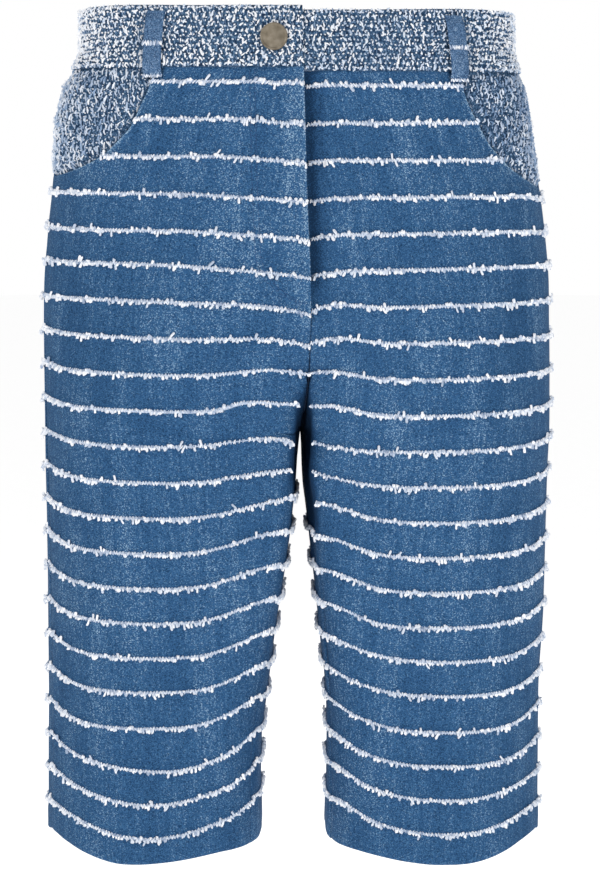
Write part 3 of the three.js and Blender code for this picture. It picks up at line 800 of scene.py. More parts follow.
def node(tree, kind, inputs=None, out=None, stops=(), **settings):
    """Adds one node with its settings, a ramp's stops, and its inputs, set or linked. Gives back
    the output that is asked for, or else the node."""
    made = tree.nodes.new("ShaderNode" + kind)
    for key, value in settings.items():
        setattr(made, key, value)
    for key, value in (inputs or {}).items():
        socket = made.inputs[key]
        if isinstance(value, bpy.types.NodeSocket):
            tree.links.new(value, socket)
        else:
            socket.default_value = value
    for k, (place, colour) in enumerate(stops):
        elements = made.color_ramp.elements
        element = elements[k] if k < len(elements) else elements.new(place)
        element.position, element.color = place, linear(colour)
    return made if out is None else made.outputs[out]


def per_mm(across, down):
    """The scale that makes one unit of a pattern this many millimetres of cloth."""
    return (1 / (across * MM), 1 / (down * MM), 1)


def hex_of(colour):
    """A linear colour of the settings as sRGB hex, which a ramp's stops take."""
    shown = [12.92 * c if c <= 0.0031308 else 1.055 * c ** (1 / 2.4) - 0.055 for c in colour]
    return "#" + "".join(f"{round(255 * min(max(c, 0), 1)):02x}" for c in shown)


def new_material(name):
    material = bpy.data.materials.new(name)
    material.use_nodes = True
    material.node_tree.nodes.clear()
    return material, material.node_tree


def denim_material(name, deep, body_colour, light, speck, frayed=False):
    """Cotton denim, woven as a 3/1 right-hand twill and stone washed. The eye gets indigo warp
    with pale weft specks along a steep diagonal, faint upright slubs and a matt, dusty surface."""
    material, tree = new_material(name)
    cloth = node(tree, "UVMap", out="UV", uv_map="cloth")
    # Ends 0.35 mm and picks 0.5 mm apart show a weft speck every 0.5 to 0.7 mm.
    turned = {"Vector": cloth, "Rotation": (0, 0, TWILL_TURN), "Scale": per_mm(0.58, 0.5)}
    twill = node(tree, "Mapping", turned, "Vector")
    cells = node(tree, "TexVoronoi", {"Vector": twill, "Scale": 1.0, "Randomness": 0.8}, "Color")
    speckle = node(tree, "SeparateColor", {"Color": cells}, "Red")
    fuzz = {"Vector": twill, "Scale": 1.3, "Detail": 1.0, "Roughness": 0.6}
    grain = node(tree, "TexNoise", fuzz, "Fac")
    upright = node(tree, "Mapping", {"Vector": cloth, "Scale": per_mm(1.7, 34)}, "Vector")
    slub = node(tree, "TexNoise", {"Vector": upright, "Scale": 1.0, "Detail": 2.0}, "Fac")
    patches = node(tree, "Mapping", {"Vector": cloth, "Scale": per_mm(15, 62)}, "Vector")
    faded = {"Vector": patches, "Scale": 1.0, "Detail": 3.0, "Roughness": 0.55}
    cloud = node(tree, "TexNoise", faded, "Fac")
    # Wear and painted shade: paler where the cloth rubs, darker by painted shade in troughs, the fly's
    # recess and between the legs.
    worn = node(tree, "Attribute", out="Fac", attribute_name="worn")
    level = 0.05
    for part, weight in ((grain, 0.15), (speckle, 0.5), (slub, 0.20), (cloud, 0.24), (worn, 0.2)):
        sum_of = {0: part, 1: weight, 2: level}
        level = node(tree, "Math", sum_of, 0, operation="MULTIPLY_ADD")
    stops = ((0.34, deep), (0.56, body_colour), (0.78, light), (0.92, speck))
    colour = node(tree, "ValToRGB", {"Fac": level}, "Color", stops)
    if frayed:
        band = node(tree, "Attribute", out="Fac", attribute_name="fray")
        ragged = node(tree, "Math", {0: grain, 1: 0.9, 2: band}, 0, operation="MULTIPLY_ADD")
        share = {"Value": ragged, "From Min": 1.08, "From Max": 1.26, "To Min": 0.0, "To Max": 1.0}
        cover = node(tree, "MapRange", share, "Result")
        stops = ((0.3, "#8099bd"), (0.7, "#d5deeb"))
        lint = node(tree, "ValToRGB", {"Fac": grain}, "Color", stops)
        colour = node(tree, "Mix", {0: cover, 6: colour, 7: lint}, 2, data_type="RGBA")
    relief = {"Height": level, "Strength": 0.35, "Distance": 0.0004}
    bump = node(tree, "Bump", relief, "Normal")
    finish = {"Base Color": colour, "Roughness": 0.9, "Normal": bump, "Specular IOR Level": 0.15}
    surface = node(tree, "BsdfPrincipled", finish, "BSDF")
    node(tree, "OutputMaterial", {"Surface": surface})
    return material


def tweed_material(name, gap, mid, pale):
    """Boucle tweed's ground, a loose weave of indigo and mid blue yarns. The eye gets dark gaps
    and dull crossings under the pale loops that lie over it."""
    material, tree = new_material(name)
    cloth = node(tree, "UVMap", out="UV", uv_map="cloth")
    # Cells of 1.6 by 2 mm, smaller than the 4.4 by 3.9 mm from slub to slub.
    weave = node(tree, "Mapping", {"Vector": cloth, "Scale": per_mm(1.6, 2.0)}, "Vector")
    cells = node(tree, "TexVoronoi", {"Vector": weave, "Scale": 1.0}, "Distance")
    fluff = node(tree, "Mapping", {"Vector": cloth, "Scale": per_mm(0.7, 0.9)}, "Vector")
    fuzz = {"Vector": fluff, "Scale": 1.0, "Detail": 2.0, "Roughness": 0.6}
    fine = node(tree, "TexNoise", fuzz, "Fac")
    level = node(tree, "Math", {0: cells, 1: -0.5, 2: fine}, 0, operation="MULTIPLY_ADD")
    stops = ((0.05, gap), (0.3, mid), (0.5, pale))
    colour = node(tree, "ValToRGB", {"Fac": level}, "Color", stops)
    relief = {"Height": level, "Strength": 0.8, "Distance": 0.0012}
    bump = node(tree, "Bump", relief, "Normal")
    finish = {"Base Color": colour, "Roughness": 0.95, "Normal": bump, "Specular IOR Level": 0.1}
    surface = node(tree, "BsdfPrincipled", finish, "BSDF")
    node(tree, "OutputMaterial", {"Surface": surface})
    return material


def yarn_material(name, *stops):
    """Spun cotton and wool yarn, soft and matt. Each strand keeps one shade of its own, broken by
    its fibres."""
    material, tree = new_material(name)
    strand = node(tree, "Attribute", out="Fac", attribute_name="shade")
    where = node(tree, "TexCoord", out="Object")
    fuzz = {"Vector": where, "Scale": 1800.0, "Detail": 2.0, "Roughness": 0.6}
    fibre = node(tree, "TexNoise", fuzz, "Fac")
    level = node(tree, "Math", {0: fibre, 1: 0.22, 2: strand}, 0, operation="MULTIPLY_ADD")
    colour = node(tree, "ValToRGB", {"Fac": level}, "Color", stops)
    relief = {"Height": fibre, "Strength": 0.3, "Distance": 0.0002}
    bump = node(tree, "Bump", relief, "Normal")
    finish = {
        "Base Color": colour, "Roughness": 0.95, "Normal": bump, "Specular IOR Level": 0.15,
        "Sheen Weight": 0.08,
    }
    surface = node(tree, "BsdfPrincipled", finish, "BSDF")
    node(tree, "OutputMaterial", {"Surface": surface})
    return material


def thread_material(name, dark, colour):
    """Mercerised sewing thread, fine and a little glossy, in the cloth's own blue."""
    material, tree = new_material(name)
    where = node(tree, "TexCoord", out="Object")
    twist = node(tree, "TexNoise", {"Vector": where, "Scale": 2600.0, "Detail": 1.0}, "Fac")
    shown = node(tree, "ValToRGB", {"Fac": twist}, "Color", ((0.3, dark), (0.7, colour)))
    finish = {"Base Color": shown, "Roughness": 0.6, "Specular IOR Level": 0.35}
    surface = node(tree, "BsdfPrincipled", finish, "BSDF")
    node(tree, "OutputMaterial", {"Surface": surface})
    return material


def button_material(name, colour):
    """Antiqued nickel plate on a stamped brass shank button. The eye gets a satin, brownish grey
    face with slight cloudy toning."""
    material, tree = new_material(name)
    where = node(tree, "TexCoord", out="Object")
    cloudy = {"Vector": where, "Scale": 260.0, "Detail": 3.0, "Roughness": 0.5}
    tone = node(tree, "TexNoise", cloudy, "Fac")
    stops = ((0.25, "#6a6153"), (0.55, colour), (0.8, "#958c7e"))
    shown = node(tree, "ValToRGB", {"Fac": tone}, "Color", stops)
    worn = {"Value": tone, "From Min": 0.2, "From Max": 0.8, "To Min": 0.42, "To Max": 0.55}
    rough = node(tree, "MapRange", worn, "Result")
    finish = {"Base Color": shown, "Metallic": 0.8, "Roughness": rough}
    surface = node(tree, "BsdfPrincipled", finish, "BSDF")
    node(tree, "OutputMaterial", {"Surface": surface})
    return material


MATERIALS = {}


def material(key):
    """Each material is made once, when the first piece asks for it."""
    picked = bpy.context.scene.shorts_settings
    denim, white = hex_of(picked.denim_colour), hex_of(picked.fray_colour)
    slub = hex_of(picked.tweed_colour)
    makers = {
        "denim": (denim_material, "washed_denim_twill", "#173656", denim, "#3b658c", "#9bb6cc", True),
        "reverse": (denim_material, "denim_weft_side", "#4b6488", "#7d94b3", "#a7b8ce", "#dbe4ef"),
        "loop": (denim_material, "washed_denim_strip", "#1d3556", "#426286", "#617d9e", "#a8bbd0"),
        "tweed": (tweed_material, "boucle_tweed_ground", "#1b2e48", "#375675", "#7391b0"),
        "boucle": (
            yarn_material, "boucle_slub_yarn",
            (0.0, "#234062"), (0.25, "#4c6d92"), (0.5, "#93abca"), (0.8, "#dfe8f4"), (1.0, slub),
        ),
        "fray": (
            yarn_material, "frayed_cotton_weft",
            (0.25, "#8a9dba"), (0.6, "#cdd7e6"), (0.95, white),
        ),
        "thread": (thread_material, "indigo_sewing_thread", "#2d4c78", "#4b6f9d"),
        "button": (button_material, "antiqued_nickel_on_brass", hex_of(picked.button_colour)),
    }
    if key not in MATERIALS:
        maker, *values = makers[key]
        MATERIALS[key] = maker(*values)
    return MATERIALS[key]


def band_shape(across):
    """A frayed band's rise over the denim, at a distance across it from its middle."""
    return np.exp(-((across / (0.42 * BAND_WIDTH)) ** 4))


def denim_panel(node_name):
    """A denim front or back: its wall, raised along the bands and thicker at the turned hem."""
    panel = PANELS[node_name]
    shares = np.linspace(0, 1, 68)
    shares[1], shares[-2] = 0.004, 0.996
    row, u = np.meshgrid(panel.rows(), shares, indexing="ij")
    drop, s = panel.line(u, row)
    base = panel.lift(s, drop)
    on_band = (row > panel.first - 6) & (row < panel.first + (BAND_COUNT - 0.5) * panel.pitch)
    band = band_shape(panel.off_band(row)) * on_band * (1 - panel.bare_of_bands(s, drop))
    band = band * (1 - panel.between_legs(s, drop))
    fold = smooth((row - HEM_DROP + HEM_TURNING) / 3)
    round_off = 0.5 * (u < 1e-6) + 0.5 * (u > 1 - 1e-6) + 0.5 * (row > HEM_DROP - 0.01)
    hem_rope = 0.25 * fold * rumple(s + 0.8 * row, row, 7, 40, panel.seed + 70)
    outer = panel.half.place(drop, s, base + BAND_RELIEF * band + 0.4 * fold + hem_rope - round_off)
    inside = panel.half.place(drop, s, base - DENIM - (HEM_FOLD - DENIM) * fold + 0.4 * round_off)
    blank = np.zeros(band.size)
    # The second mark is wear, with painted shade in troughs, the fly's recess and between the legs.
    marks = {
        "fray": np.concatenate([band.ravel(), blank]),
        "worn": np.concatenate([panel.worn(u, s, drop).ravel(), blank]),
    }
    name, across = "denim_" + node_name, panel.half.from_side(drop, s)
    keys = ("denim", "reverse")
    return wall_piece(name, outer, inside, across, drop, keys, node_name, marks)


def frayed_bands(node_name, pitch, tuft_gap, tuft_length):
    """A chain of short slanting stitches along each band, and the frayed yarn ends that it holds:
    small blunt tufts, most of them hanging, some standing up, in uneven clusters."""
    panel = PANELS[node_name]
    rng = np.random.default_rng(100 + panel.seed)
    chains, tufts = [], []
    for k in range(BAND_COUNT):
        middle = panel.first + k * panel.pitch
        drop, s = panel.line(np.linspace(0, 1, 64), np.full(64, middle))
        length = float(np.abs(np.diff(s)).sum())
        count = int(length / pitch)
        u = (np.arange(count) + 0.5 + rng.uniform(-0.18, 0.18, count)) / count
        slant = np.where(np.arange(count) % 2, 0.42, -0.30) + rng.normal(0, 0.14, count)
        chains.append([u, np.full(count, middle) + rng.normal(0, 0.16, count), slant])
        count = int(length / tuft_gap)
        u = (np.arange(count) + rng.uniform(0, 1, count)) / count
        crowd = rumple(u * length, u * 0 + 31 * k, 7, 50, panel.seed + 9)
        u = u[rng.uniform(-1.0, 0.75, count) < crowd]
        tufts.append([u, np.full(len(u), middle), np.full(len(u), k)])

    def strokes(u, middle, rise, ds, lifts, radii, tone, spread):
        drop, s = panel.line(u, middle)
        start, end = panel.ends(middle, drop)
        ds = ds + panel.half.upright(panel.front, u[:, None], drop[:, None], drop[:, None] + rise)
        drop = drop[:, None] + rise
        s = np.clip(s[:, None] + ds, start[:, None] + 0.4, end[:, None] - 0.4)
        fold = smooth((drop - HEM_DROP + HEM_TURNING) / 3)
        held = panel.bare_of_bands(s[:, 1], drop[:, 1]) > 0.3
        held |= panel.between_legs(s[:, 1], drop[:, 1]) > 0.5
        base = panel.lift(s, drop) + 0.4 * fold
        points, normals = panel.half.place(drop, s, base + lifts, with_normal=True)
        shades = clamp01(rng.normal(tone, spread, (~held).sum()))
        return strands(points[~held], normals[~held, 1], radii[~held], shades)

    u, middle, slant = (np.concatenate([c[k] for c in chains]) for k in range(3))
    shares = np.array([-1.0, 0.0, 1.0])
    long = rng.normal(1.15, 0.12, len(u))
    crown = BAND_RELIEF + rng.normal(0.22, 0.12, len(u))
    lifts = np.stack([crown - 0.85, crown, crown - 0.85], 1)
    thick = rng.uniform(0.46, 0.62, len(u))
    radii = np.stack([0.8 * thick, thick, 0.8 * thick], 1)
    rise, ds = shares * long[:, None], shares * slant[:, None]
    chain = strokes(u, middle, rise, ds, lifts, radii, 0.58, 0.2)

    u, middle, band = (np.concatenate([t[k] for t in tufts]) for k in range(3))
    count = len(u)
    upward = rng.uniform(0, 1, count) < np.interp(band, [0, 6, 21], [0.42, 0.24, 0.14])
    way = np.where(upward, -1.0, 1.0)
    long = np.clip(rng.gamma(2.2, 0.40, count) * tuft_length, 0.3, 2.4 * tuft_length)
    drift = rng.normal(0, 0.36, count) * long
    reach = np.array([0.2, 0.9, 0.9, 0.9])
    along = np.array([0.0, 0.35, 0.85, 1.0])
    rise = way[:, None] * (reach + along * long[:, None])
    lifts = BAND_RELIEF + np.array([0.45, 0.40, 0.1, -0.05])
    lifts = lifts + along * rng.uniform(-0.4, 0.9, count)[:, None]
    stout = rng.uniform(0.85, 1.35, count) * np.clip(1.2 - 0.12 * long, 0.62, 1.15)
    radii = np.stack([0.7 * stout, stout, 1.05 * stout, 0.6 * stout], 1)
    fringe = strokes(u, middle, rise, along * drift[:, None], lifts, radii, 0.72, 0.18)
    return strand_piece("frayed_bands_" + node_name, joined([chain, fringe]), "fray")


def band_over(side, s):
    """How far the waistband's right end stands out over the left, sinking to nothing past it."""
    return (TWEED + SEAM_GAP + 0.1) * smooth((72 - s) / 30) if side == "right" else np.zeros_like(s)


def band_place(side, drop, s, out, with_normal=False):
    """A place on the waistband, out from its outer face, at a nominal height of it."""
    upper = 1 - drop / BAND_HEIGHT
    peak = 2 * np.exp(-(((s - 135) / 60) ** 2))
    level = drop + slip(side, s) * np.where(s < 1, upper, 1) - peak * upper
    return HALF[side].place(level, s, BAND_FACE + band_over(side, s) + out, with_normal)


def waistband_half(side):
    """The tweed ground of one half of the waistband. The left half runs on under the lap."""
    half = HALF[side]
    upper, lower = [0, 0.3, 1.0, 2.2], [36, 37.8, 38.8, 39.3, BAND_HEIGHT]
    drops = np.array(upper + [5, 9, 13, 17, 21, 25, 29, 33] + lower)
    tucks = [1.2, 0.75, 0.35, 0.1, 0, 0, 0.1, 0.35, 0.75, 1.2]
    tuck = np.interp(drops, upper + [10] + lower, tucks)
    start = -LAP if side == "left" else 0.0
    total = half.total(BAND_MIDDLE)
    under = np.linspace(start + 3.5, 1, 12)[:-1] if side == "left" else []
    tip = [start, start + 0.4, start + 1.2]
    s_line = np.concatenate([tip, under, np.linspace(3.5, total, 136)])
    drop, s = np.meshgrid(drops, s_line, indexing="ij")
    ends = half.total(drop)
    s = np.where(s > total - 60, s + (ends - total) * (s - total + 60) / 60, s)
    end_round = 0.9 * np.exp(-((s - start) / 0.9) ** 2)
    waver = 0.35 * rumple(s, drop, 6, 9, 5 + SIDES.index(side))
    outer = band_place(side, drop, s, waver - tuck[:, None] - end_round)
    inside = band_place(side, drop, s, -TWEED + 0.3 * end_round)
    name, keys = "tweed_waistband_" + side, ("tweed", "reverse")
    return wall_piece(name, outer, inside, s, drop, keys, "waistband_" + side)


def scattered(rng, s0, s1, drop0, drop1, pitch_s, pitch_drop, jitter):
    """Places in staggered rows on a rectangle of cloth, each moved a little at random."""
    cols, rows = int((s1 - s0) / pitch_s), int((drop1 - drop0) / pitch_drop)
    s, drop = np.meshgrid(np.arange(cols) + 0.5, np.arange(rows) + 0.5)
    s = s + 0.25 - 0.5 * (np.arange(rows) % 2)[:, None]
    s = s0 + (s + rng.uniform(-jitter, jitter, s.shape)) * (s1 - s0) / cols
    drop = drop0 + (drop + rng.uniform(-jitter, jitter, drop.shape)) * (drop1 - drop0) / rows
    return s.ravel(), drop.ravel()


# The yarns of the tweed: how far apart they lie along and down the cloth, how freely they stray,
# their slope and its spread, half length, bend, height, thickness and shade, each from low to high.
# The rows are the ends, the crossings and the slubs. The band's two edges have one row of their own.
TWEED_YARNS = (
    ((2.2, 3.3), 0.25, (0.0, 0.2), (1.4, 2.3), 0.35, (0.0, 0.45), (0.24, 0.38), (0.08, 0.40)),
    ((3.0, 2.8), 0.22, (1.0, 0.5), (0.35, 0.65), 0.1, (0.5, 1.0), (0.60, 0.92), (0.55, 1.0)),
    ((4.4, 3.9), 0.50, (0.2, 0.5), (0.8, 2.0), 0.6, (0.7, 1.4), (0.55, 1.05), (0.5, 0.95)),
)
EDGE_YARNS = (((2.7, 2.2), 0.4, (0.9, 0.6), (0.5, 1.2), 0.3, (0.3, 0.8), (0.46, 0.8), (0.3, 0.9)),)
HIP_YARNS = (
    ((2.2, 3.3), 0.30, (0.0, 0.2), (1.4, 2.4), 0.4, (0.0, 0.45), (0.24, 0.38), (0.05, 0.36)),
    ((3.1, 2.9), 0.30, (1.0, 0.5), (0.30, 0.6), 0.1, (0.45, 0.9), (0.48, 0.78), (0.40, 0.90)),
    ((3.6, 4.0), 0.50, (0.12, 0.35), (1.0, 2.6), 0.6, (0.6, 1.3), (0.48, 0.90), (0.40, 0.88)),
)
# How much paler each side's tweed is than the yarns' own shades. Both facings are darker in their own
# tone;
# the differences between the sides, paler on the waistband's right half and darker on the left facing,
# are painted light and shade.
BAND_PALER = {"right": 0.15, "left": 0.0}
HIP_PALER = {"right": -0.06, "left": -0.2}


def tweed_strands(rng, box, place, kinds, shown, seed, paler):
    """The tweed's yarns over a stretch of cloth, as closed strands and the shade of each point."""
    lots = []
    for pitch, stray, (slope, spread), halves, bend, heights, thicks, tones in kinds:
        s, drop = scattered(rng, *box, *pitch, stray)
        kept = shown(s, drop)
        s, drop = s[kept], drop[kept]
        count = len(s)
        turn = slope * np.where(rng.uniform(0, 1, count) < 0.5, 1, -1) + rng.normal(0, spread, count)
        long = rng.uniform(*halves, count)
        bow = rng.normal(0, bend, count)
        along = np.array([-1.0, 0.0, 1.0])
        ds = along * (np.sin(turn) * long)[:, None]
        dd = along * (np.cos(turn) * long)[:, None]
        ds[:, 1] += bow * np.cos(turn)
        dd[:, 1] -= bow * np.sin(turn)
        crown = rng.uniform(*heights, count)
        lift = np.stack([crown - 0.7, crown, crown - 0.7], 1)
        points, normals = place(drop[:, None] + dd, s[:, None] + ds, lift)
        thick = rng.uniform(*thicks, count)
        radii = np.stack([0.6 * thick, thick, 0.6 * thick], 1)
        # Each side's offset brings painted light and shade as well as the facings' own darker tone; the
        # rumple is the tweed's own uneven tone.
        patch = paler + 0.12 * rumple(s, drop, 15, 12, seed)
        shades = clamp01(rng.uniform(*tones, count) + patch)
        lots.append(strands(points, normals[:, 1], radii, shades))
    return joined(lots)


def waistband_slubs(side):
    rng = np.random.default_rng(300 + SIDES.index(side))
    total = float(HALF[side].total(BAND_MIDDLE))
    start = 0.6 if side == "right" else -1.0

    def at(d, along, lift):
        along = np.clip(along, -2.5 if side == "left" else -0.2, total + 0.5)
        return band_place(side, np.clip(d, -0.6, BAND_HEIGHT + 0.9), along, lift, with_normal=True)

    def shown(s, drop):
        return s < total

    lots = []
    for yarns, high, low, seed in (
        (TWEED_YARNS, 0.2, BAND_HEIGHT - 0.2, 21),
        (EDGE_YARNS, 0.9 - 1.1, 0.9 + 1.1, 22),
        (EDGE_YARNS, BAND_HEIGHT - 0.9 - 1.1, BAND_HEIGHT - 0.9 + 1.1, 22),
    ):
        box = (start, total, high, low)
        lots.append(tweed_strands(rng, box, at, yarns, shown, seed, BAND_PALER[side]))
    return strand_piece("boucle_waistband_" + side, joined(lots), "boucle")


def inside_mouth(side, s, drop):
    """How far a place stands inside the pocket mouth, measured square to its edge."""
    line = mouth_line[side]
    slope = (line(drop + 1) - line(drop - 1)) / 2
    return np.where(drop >= MOUTH_END[side], 0.0, (s - line(drop)) / np.hypot(1, slope))


def facing_out(side, s, drop):
    """How far the facing stands off the bare form: under the mouth's edge, then level with it."""
    return -DENIM - 1 + (DENIM + 1) * smooth((inside_mouth(side, s, drop) - 2) / 7)


def pocket_facing(side):
    """The tweed ground that shows in a pocket mouth, from under its edge to the side seam."""
    half = HALF[side]
    top = BAND_HEIGHT + SEAM_GAP + (LEFT_SLIP if side == "left" else 0)
    rows = top + np.linspace(0, 1, 44) ** 0.9 * (MOUTH_END[side] + 7 - top)
    share = np.linspace(0, 1, 48)
    seam = half.side_seam(rows) - 4 * SEAM_GAP
    start = np.minimum(mouth_line[side](np.maximum(BAND_HEIGHT, rows - 8)) - 7, seam - 14)
    s = start[:, None] + share[None, :] * (seam - start)[:, None]
    drop = np.repeat(rows[:, None], len(share), 1)
    out = facing_out(side, s, drop)
    clear = smooth((inside_mouth(side, s, drop) - 6) / 6)
    waver = 0.3 * rumple(s, drop, 6, 8, 15 + SIDES.index(side)) * clear
    outer = half.place(drop, s, out + waver)
    inside = half.place(drop, s, out - TWEED + 0.4)
    name, keys = "tweed_facing_" + side, ("tweed", "reverse")
    return wall_piece(name, outer, inside, s, drop, keys, "pocket_facing_" + side)


def facing_slubs(side):
    rng = np.random.default_rng(400 + SIDES.index(side))
    half = HALF[side]

    def shown(s, drop):
        inside = inside_mouth(side, s, drop) > 1.2
        below = drop > BAND_HEIGHT + (LEFT_SLIP + 1 if side == "left" else 0)
        return inside & below & (s < half.side_seam(drop) - 1.0) & (drop < MOUTH_END[side] - 1.2)

    def at(d, along, lift):
        along = np.minimum(along, half.side_seam(d) - 0.3)
        return half.place(d, along, facing_out(side, along, d) + lift, with_normal=True)

    box = (90, 240, BAND_HEIGHT + 1, MOUTH_END[side] + 1)
    lot = tweed_strands(rng, box, at, HIP_YARNS, shown, 31, HIP_PALER[side])
    return strand_piece("boucle_facing_" + side, lot, "boucle")


LOOP_PROFILE = (
    "drop out",
    (3, 0.4),
    (5, 0.4),
    (8, 1.9),
    (16, 2.6),
    (27, 2.6),
    (37, 1.9),
    (41.5, 0.9),
    (44.5, -1.5),
    (46.6, -1.6),
)
LOOPS = {
    "belt_loop_front_right": ("right", lambda d: 94 + 3 * d / BAND_HEIGHT, 0.0),
    "belt_loop_front_left": ("left", lambda d: 104 + 5 * d / BAND_HEIGHT, LEFT_SLIP),
    "belt_loop_side_right": ("right", lambda d: HALF["right"].total(d) - 112, 0.0),
    "belt_loop_side_left": ("left", lambda d: HALF["left"].total(d) - 112, 0.0),
    "belt_loop_back": ("right", lambda d: HALF["right"].total(d), 0.0),
}
LOOP_WIDTH = 13.0
LOOP_THICK = 1.6


def belt_loop(node_name):
    side, middle, down = LOOPS[node_name]
    out_at = columns(LOOP_PROFILE)["out"]
    drops = np.concatenate([[3.0, 3.3, 3.8], np.linspace(4.8, 45.6, 34), [46.1, 46.6]])
    across = np.array([-0.5, -0.485, -0.45, -0.38, -0.2, 0, 0.2, 0.38, 0.45, 0.485, 0.5])
    edge = np.array([0.7, 0.3, 0.02, -0.12, 0, 0.04, 0, -0.12, 0.02, 0.3, 0.7])
    end = np.interp(drops, [3, 3.8, 45.6, 46.6], [0.5, 0, 0, 0.4])
    drop, share = np.meshgrid(drops, across, indexing="ij")
    s = middle(drop) + LOOP_WIDTH * share
    out = BAND_FACE + out_at(drop) + 0.15 * rumple(s, drop, 5, 9, 44)
    outer = HALF[side].place(drop + down, s, out + LOOP_THICK - edge[None, :] - end[:, None])
    inside = HALF[side].place(drop + down, s, BAND_FACE + out_at(drop) + 0.4 * edge[None, :])
    return wall_piece(node_name + "_strip", outer, inside, s, drop, ("loop",), node_name)


def loop_trim(node_name):
    """A belt loop's frayed line across its middle and the bar of stitches at its foot."""
    side, middle, down = LOOPS[node_name]
    out_at = columns(LOOP_PROFILE)["out"]
    rng = np.random.default_rng(500 + sorted(LOOPS).index(node_name))
    groups = []
    for level, long, tall, count in ((24.4, 1.5, 0.5, 13), (45.9, 1.0, 0.4, 12)):
        share = (np.arange(count) + 0.5) / count - 0.5 + rng.normal(0, 0.008, count)
        steps = np.array([-1.0, 0.0, 1.0])
        middles = level + rng.normal(0, 0.15, count)
        reach = long * rng.uniform(0.8, 1.25, count)
        drop = middles[:, None] + steps * reach[:, None]
        s = middle(drop) + LOOP_WIDTH * 1.08 * share[:, None]
        s = s + steps * rng.normal(0, 0.3, count)[:, None]
        lift = BAND_FACE + out_at(drop) + LOOP_THICK + np.array([-0.1, tall, 0.0])
        groups.append((drop, s, lift))
    drop, s, lift = (np.concatenate([g[k] for g in groups]) for k in range(3))
    points, normals = HALF[side].place(drop + down, s, lift, with_normal=True)
    radii = np.repeat([[0.4, 0.6, 0.4]], len(points), 0)
    shades = clamp01(rng.normal(0.65, 0.2, len(points)))
    lot = strands(points, normals[:, 1], radii, shades)
    return strand_piece(node_name + "_fray", lot, "fray")


BUTTON_RADIUS = 9.0
BUTTON_PLACE = (21.0, 18.5)
BUTTON_GAP = 0.8


def shank_button():
    """The button: a disc with an inset face and a bevelled, raised rim, turned onto its seat."""
    half = HALF["right"]
    seat = BAND_FACE + TWEED + BUTTON_GAP
    low = half.place(*BUTTON_PLACE, seat) * MM
    out = half.place(*BUTTON_PLACE, seat + 1) * MM
    axis = Vector(out - low).normalized()
    turn = Vector((0, 0, 1)).rotation_difference(axis)
    bpy.ops.object.select_all(action="DESELECT")
    bpy.ops.mesh.primitive_cylinder_add(
        vertices=72, radius=BUTTON_RADIUS * MM, depth=1.9 * MM, location=(0, 0, 0.95 * MM)
    )
    piece = bpy.context.object
    piece.name = "shank_button"
    bpy.ops.object.transform_apply(location=True)
    bpy.ops.object.mode_set(mode="EDIT")
    bpy.ops.mesh.select_all(action="DESELECT")
    bpy.ops.object.mode_set(mode="OBJECT")
    top = max(f.center.z for f in piece.data.polygons)
    for face in piece.data.polygons:
        upward = face.center.z > top - 1e-6 and face.normal.z > 0.9
        face.select = upward and len(face.vertices) > 8
    bpy.ops.object.mode_set(mode="EDIT")
    bpy.ops.mesh.select_mode(type="FACE")
    bpy.ops.mesh.inset(thickness=1.3 * MM)
    bpy.ops.mesh.inset(thickness=0.25 * MM, depth=-0.35 * MM)
    for thickness, depth in ((1.2, 0.12), (1.6, 0.12), (1.8, 0.1), (1.6, 0.05)):
        bpy.ops.mesh.inset(thickness=thickness * MM, depth=depth * MM)
    bpy.ops.object.mode_set(mode="OBJECT")
    bevel = piece.modifiers.new("rim", "BEVEL")
    bevel.width = 0.35 * MM
    bevel.segments = 3
    bevel.limit_method = "ANGLE"
    bevel.angle_limit = math.radians(25)
    bpy.ops.object.modifier_apply(modifier="rim")
    piece.rotation_mode = "QUATERNION"
    piece.rotation_quaternion = turn
    piece.location = Vector(low)
    bpy.ops.object.transform_apply(location=True, rotation=True)
    piece.data.materials.append(material("button"))
    shade(piece, 35)
    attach(piece, "root")
    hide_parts("button")
    return piece


def stitch_run(points, normals, length=2.6, gap=0.9, radius=0.26):
    """Stitches of thread laid end to end along a line of points, each a short arched strand."""
    steps = np.linalg.norm(np.diff(points, axis=0), axis=1)
    along = np.concatenate([[0], np.cumsum(steps)])
    starts = np.arange(0, along[-1] - length, length + gap)
    spots = starts[:, None] + np.array([0.0, 0.5, 1.0]) * length
    paths = np.stack([np.interp(spots, along, points[:, k]) for k in range(3)], -1)
    ups = np.stack([np.interp(spots[:, 1], along, normals[:, k]) for k in range(3)], -1)
    paths[:, 0] -= 0.12 * ups
    paths[:, 1] += 0.14 * ups
    paths[:, 2] -= 0.12 * ups
    radii = np.tile([0.7 * radius, radius, 0.7 * radius], (len(starts), 1))
    return paths, ups, radii


def topstitching():
    """The fly's two curved rows of stitches, in thread of the denim's own colour."""
    panel = PANELS["front_right"]
    angle = np.linspace(0, 1, 40)
    curve_s = np.concatenate([[31, 30.6], 30 - 27 * smooth(angle) ** 1.4])
    curve_drop = np.concatenate([[42, 120], 158 + 38 * np.sin(angle * math.pi / 2)])
    t, knots = np.linspace(0, 1, 400), np.linspace(0, 1, len(curve_s))
    drop = np.interp(t, knots, curve_drop)
    over = BAND_RELIEF * band_shape(panel.off_band(drop))
    runs = []
    for off in (0.0, 3.0):
        s = np.interp(t, knots, curve_s) + off
        lift = panel.lift(s, drop) + 0.18 + over
        runs.append(stitch_run(*panel.half.place(drop, s, lift, with_normal=True)))
    paths, ups, radii = (np.concatenate([r[k] for r in runs]) for k in range(3))
    return strand_piece("fly_topstitching", strands(paths, ups, radii), "thread")


def length_setting(name, description, default, least, most, **more):
    return bpy.props.FloatProperty(
        name=name, description=description, default=default, min=least, max=most,
        subtype="DISTANCE", unit="LENGTH", **more,
    )


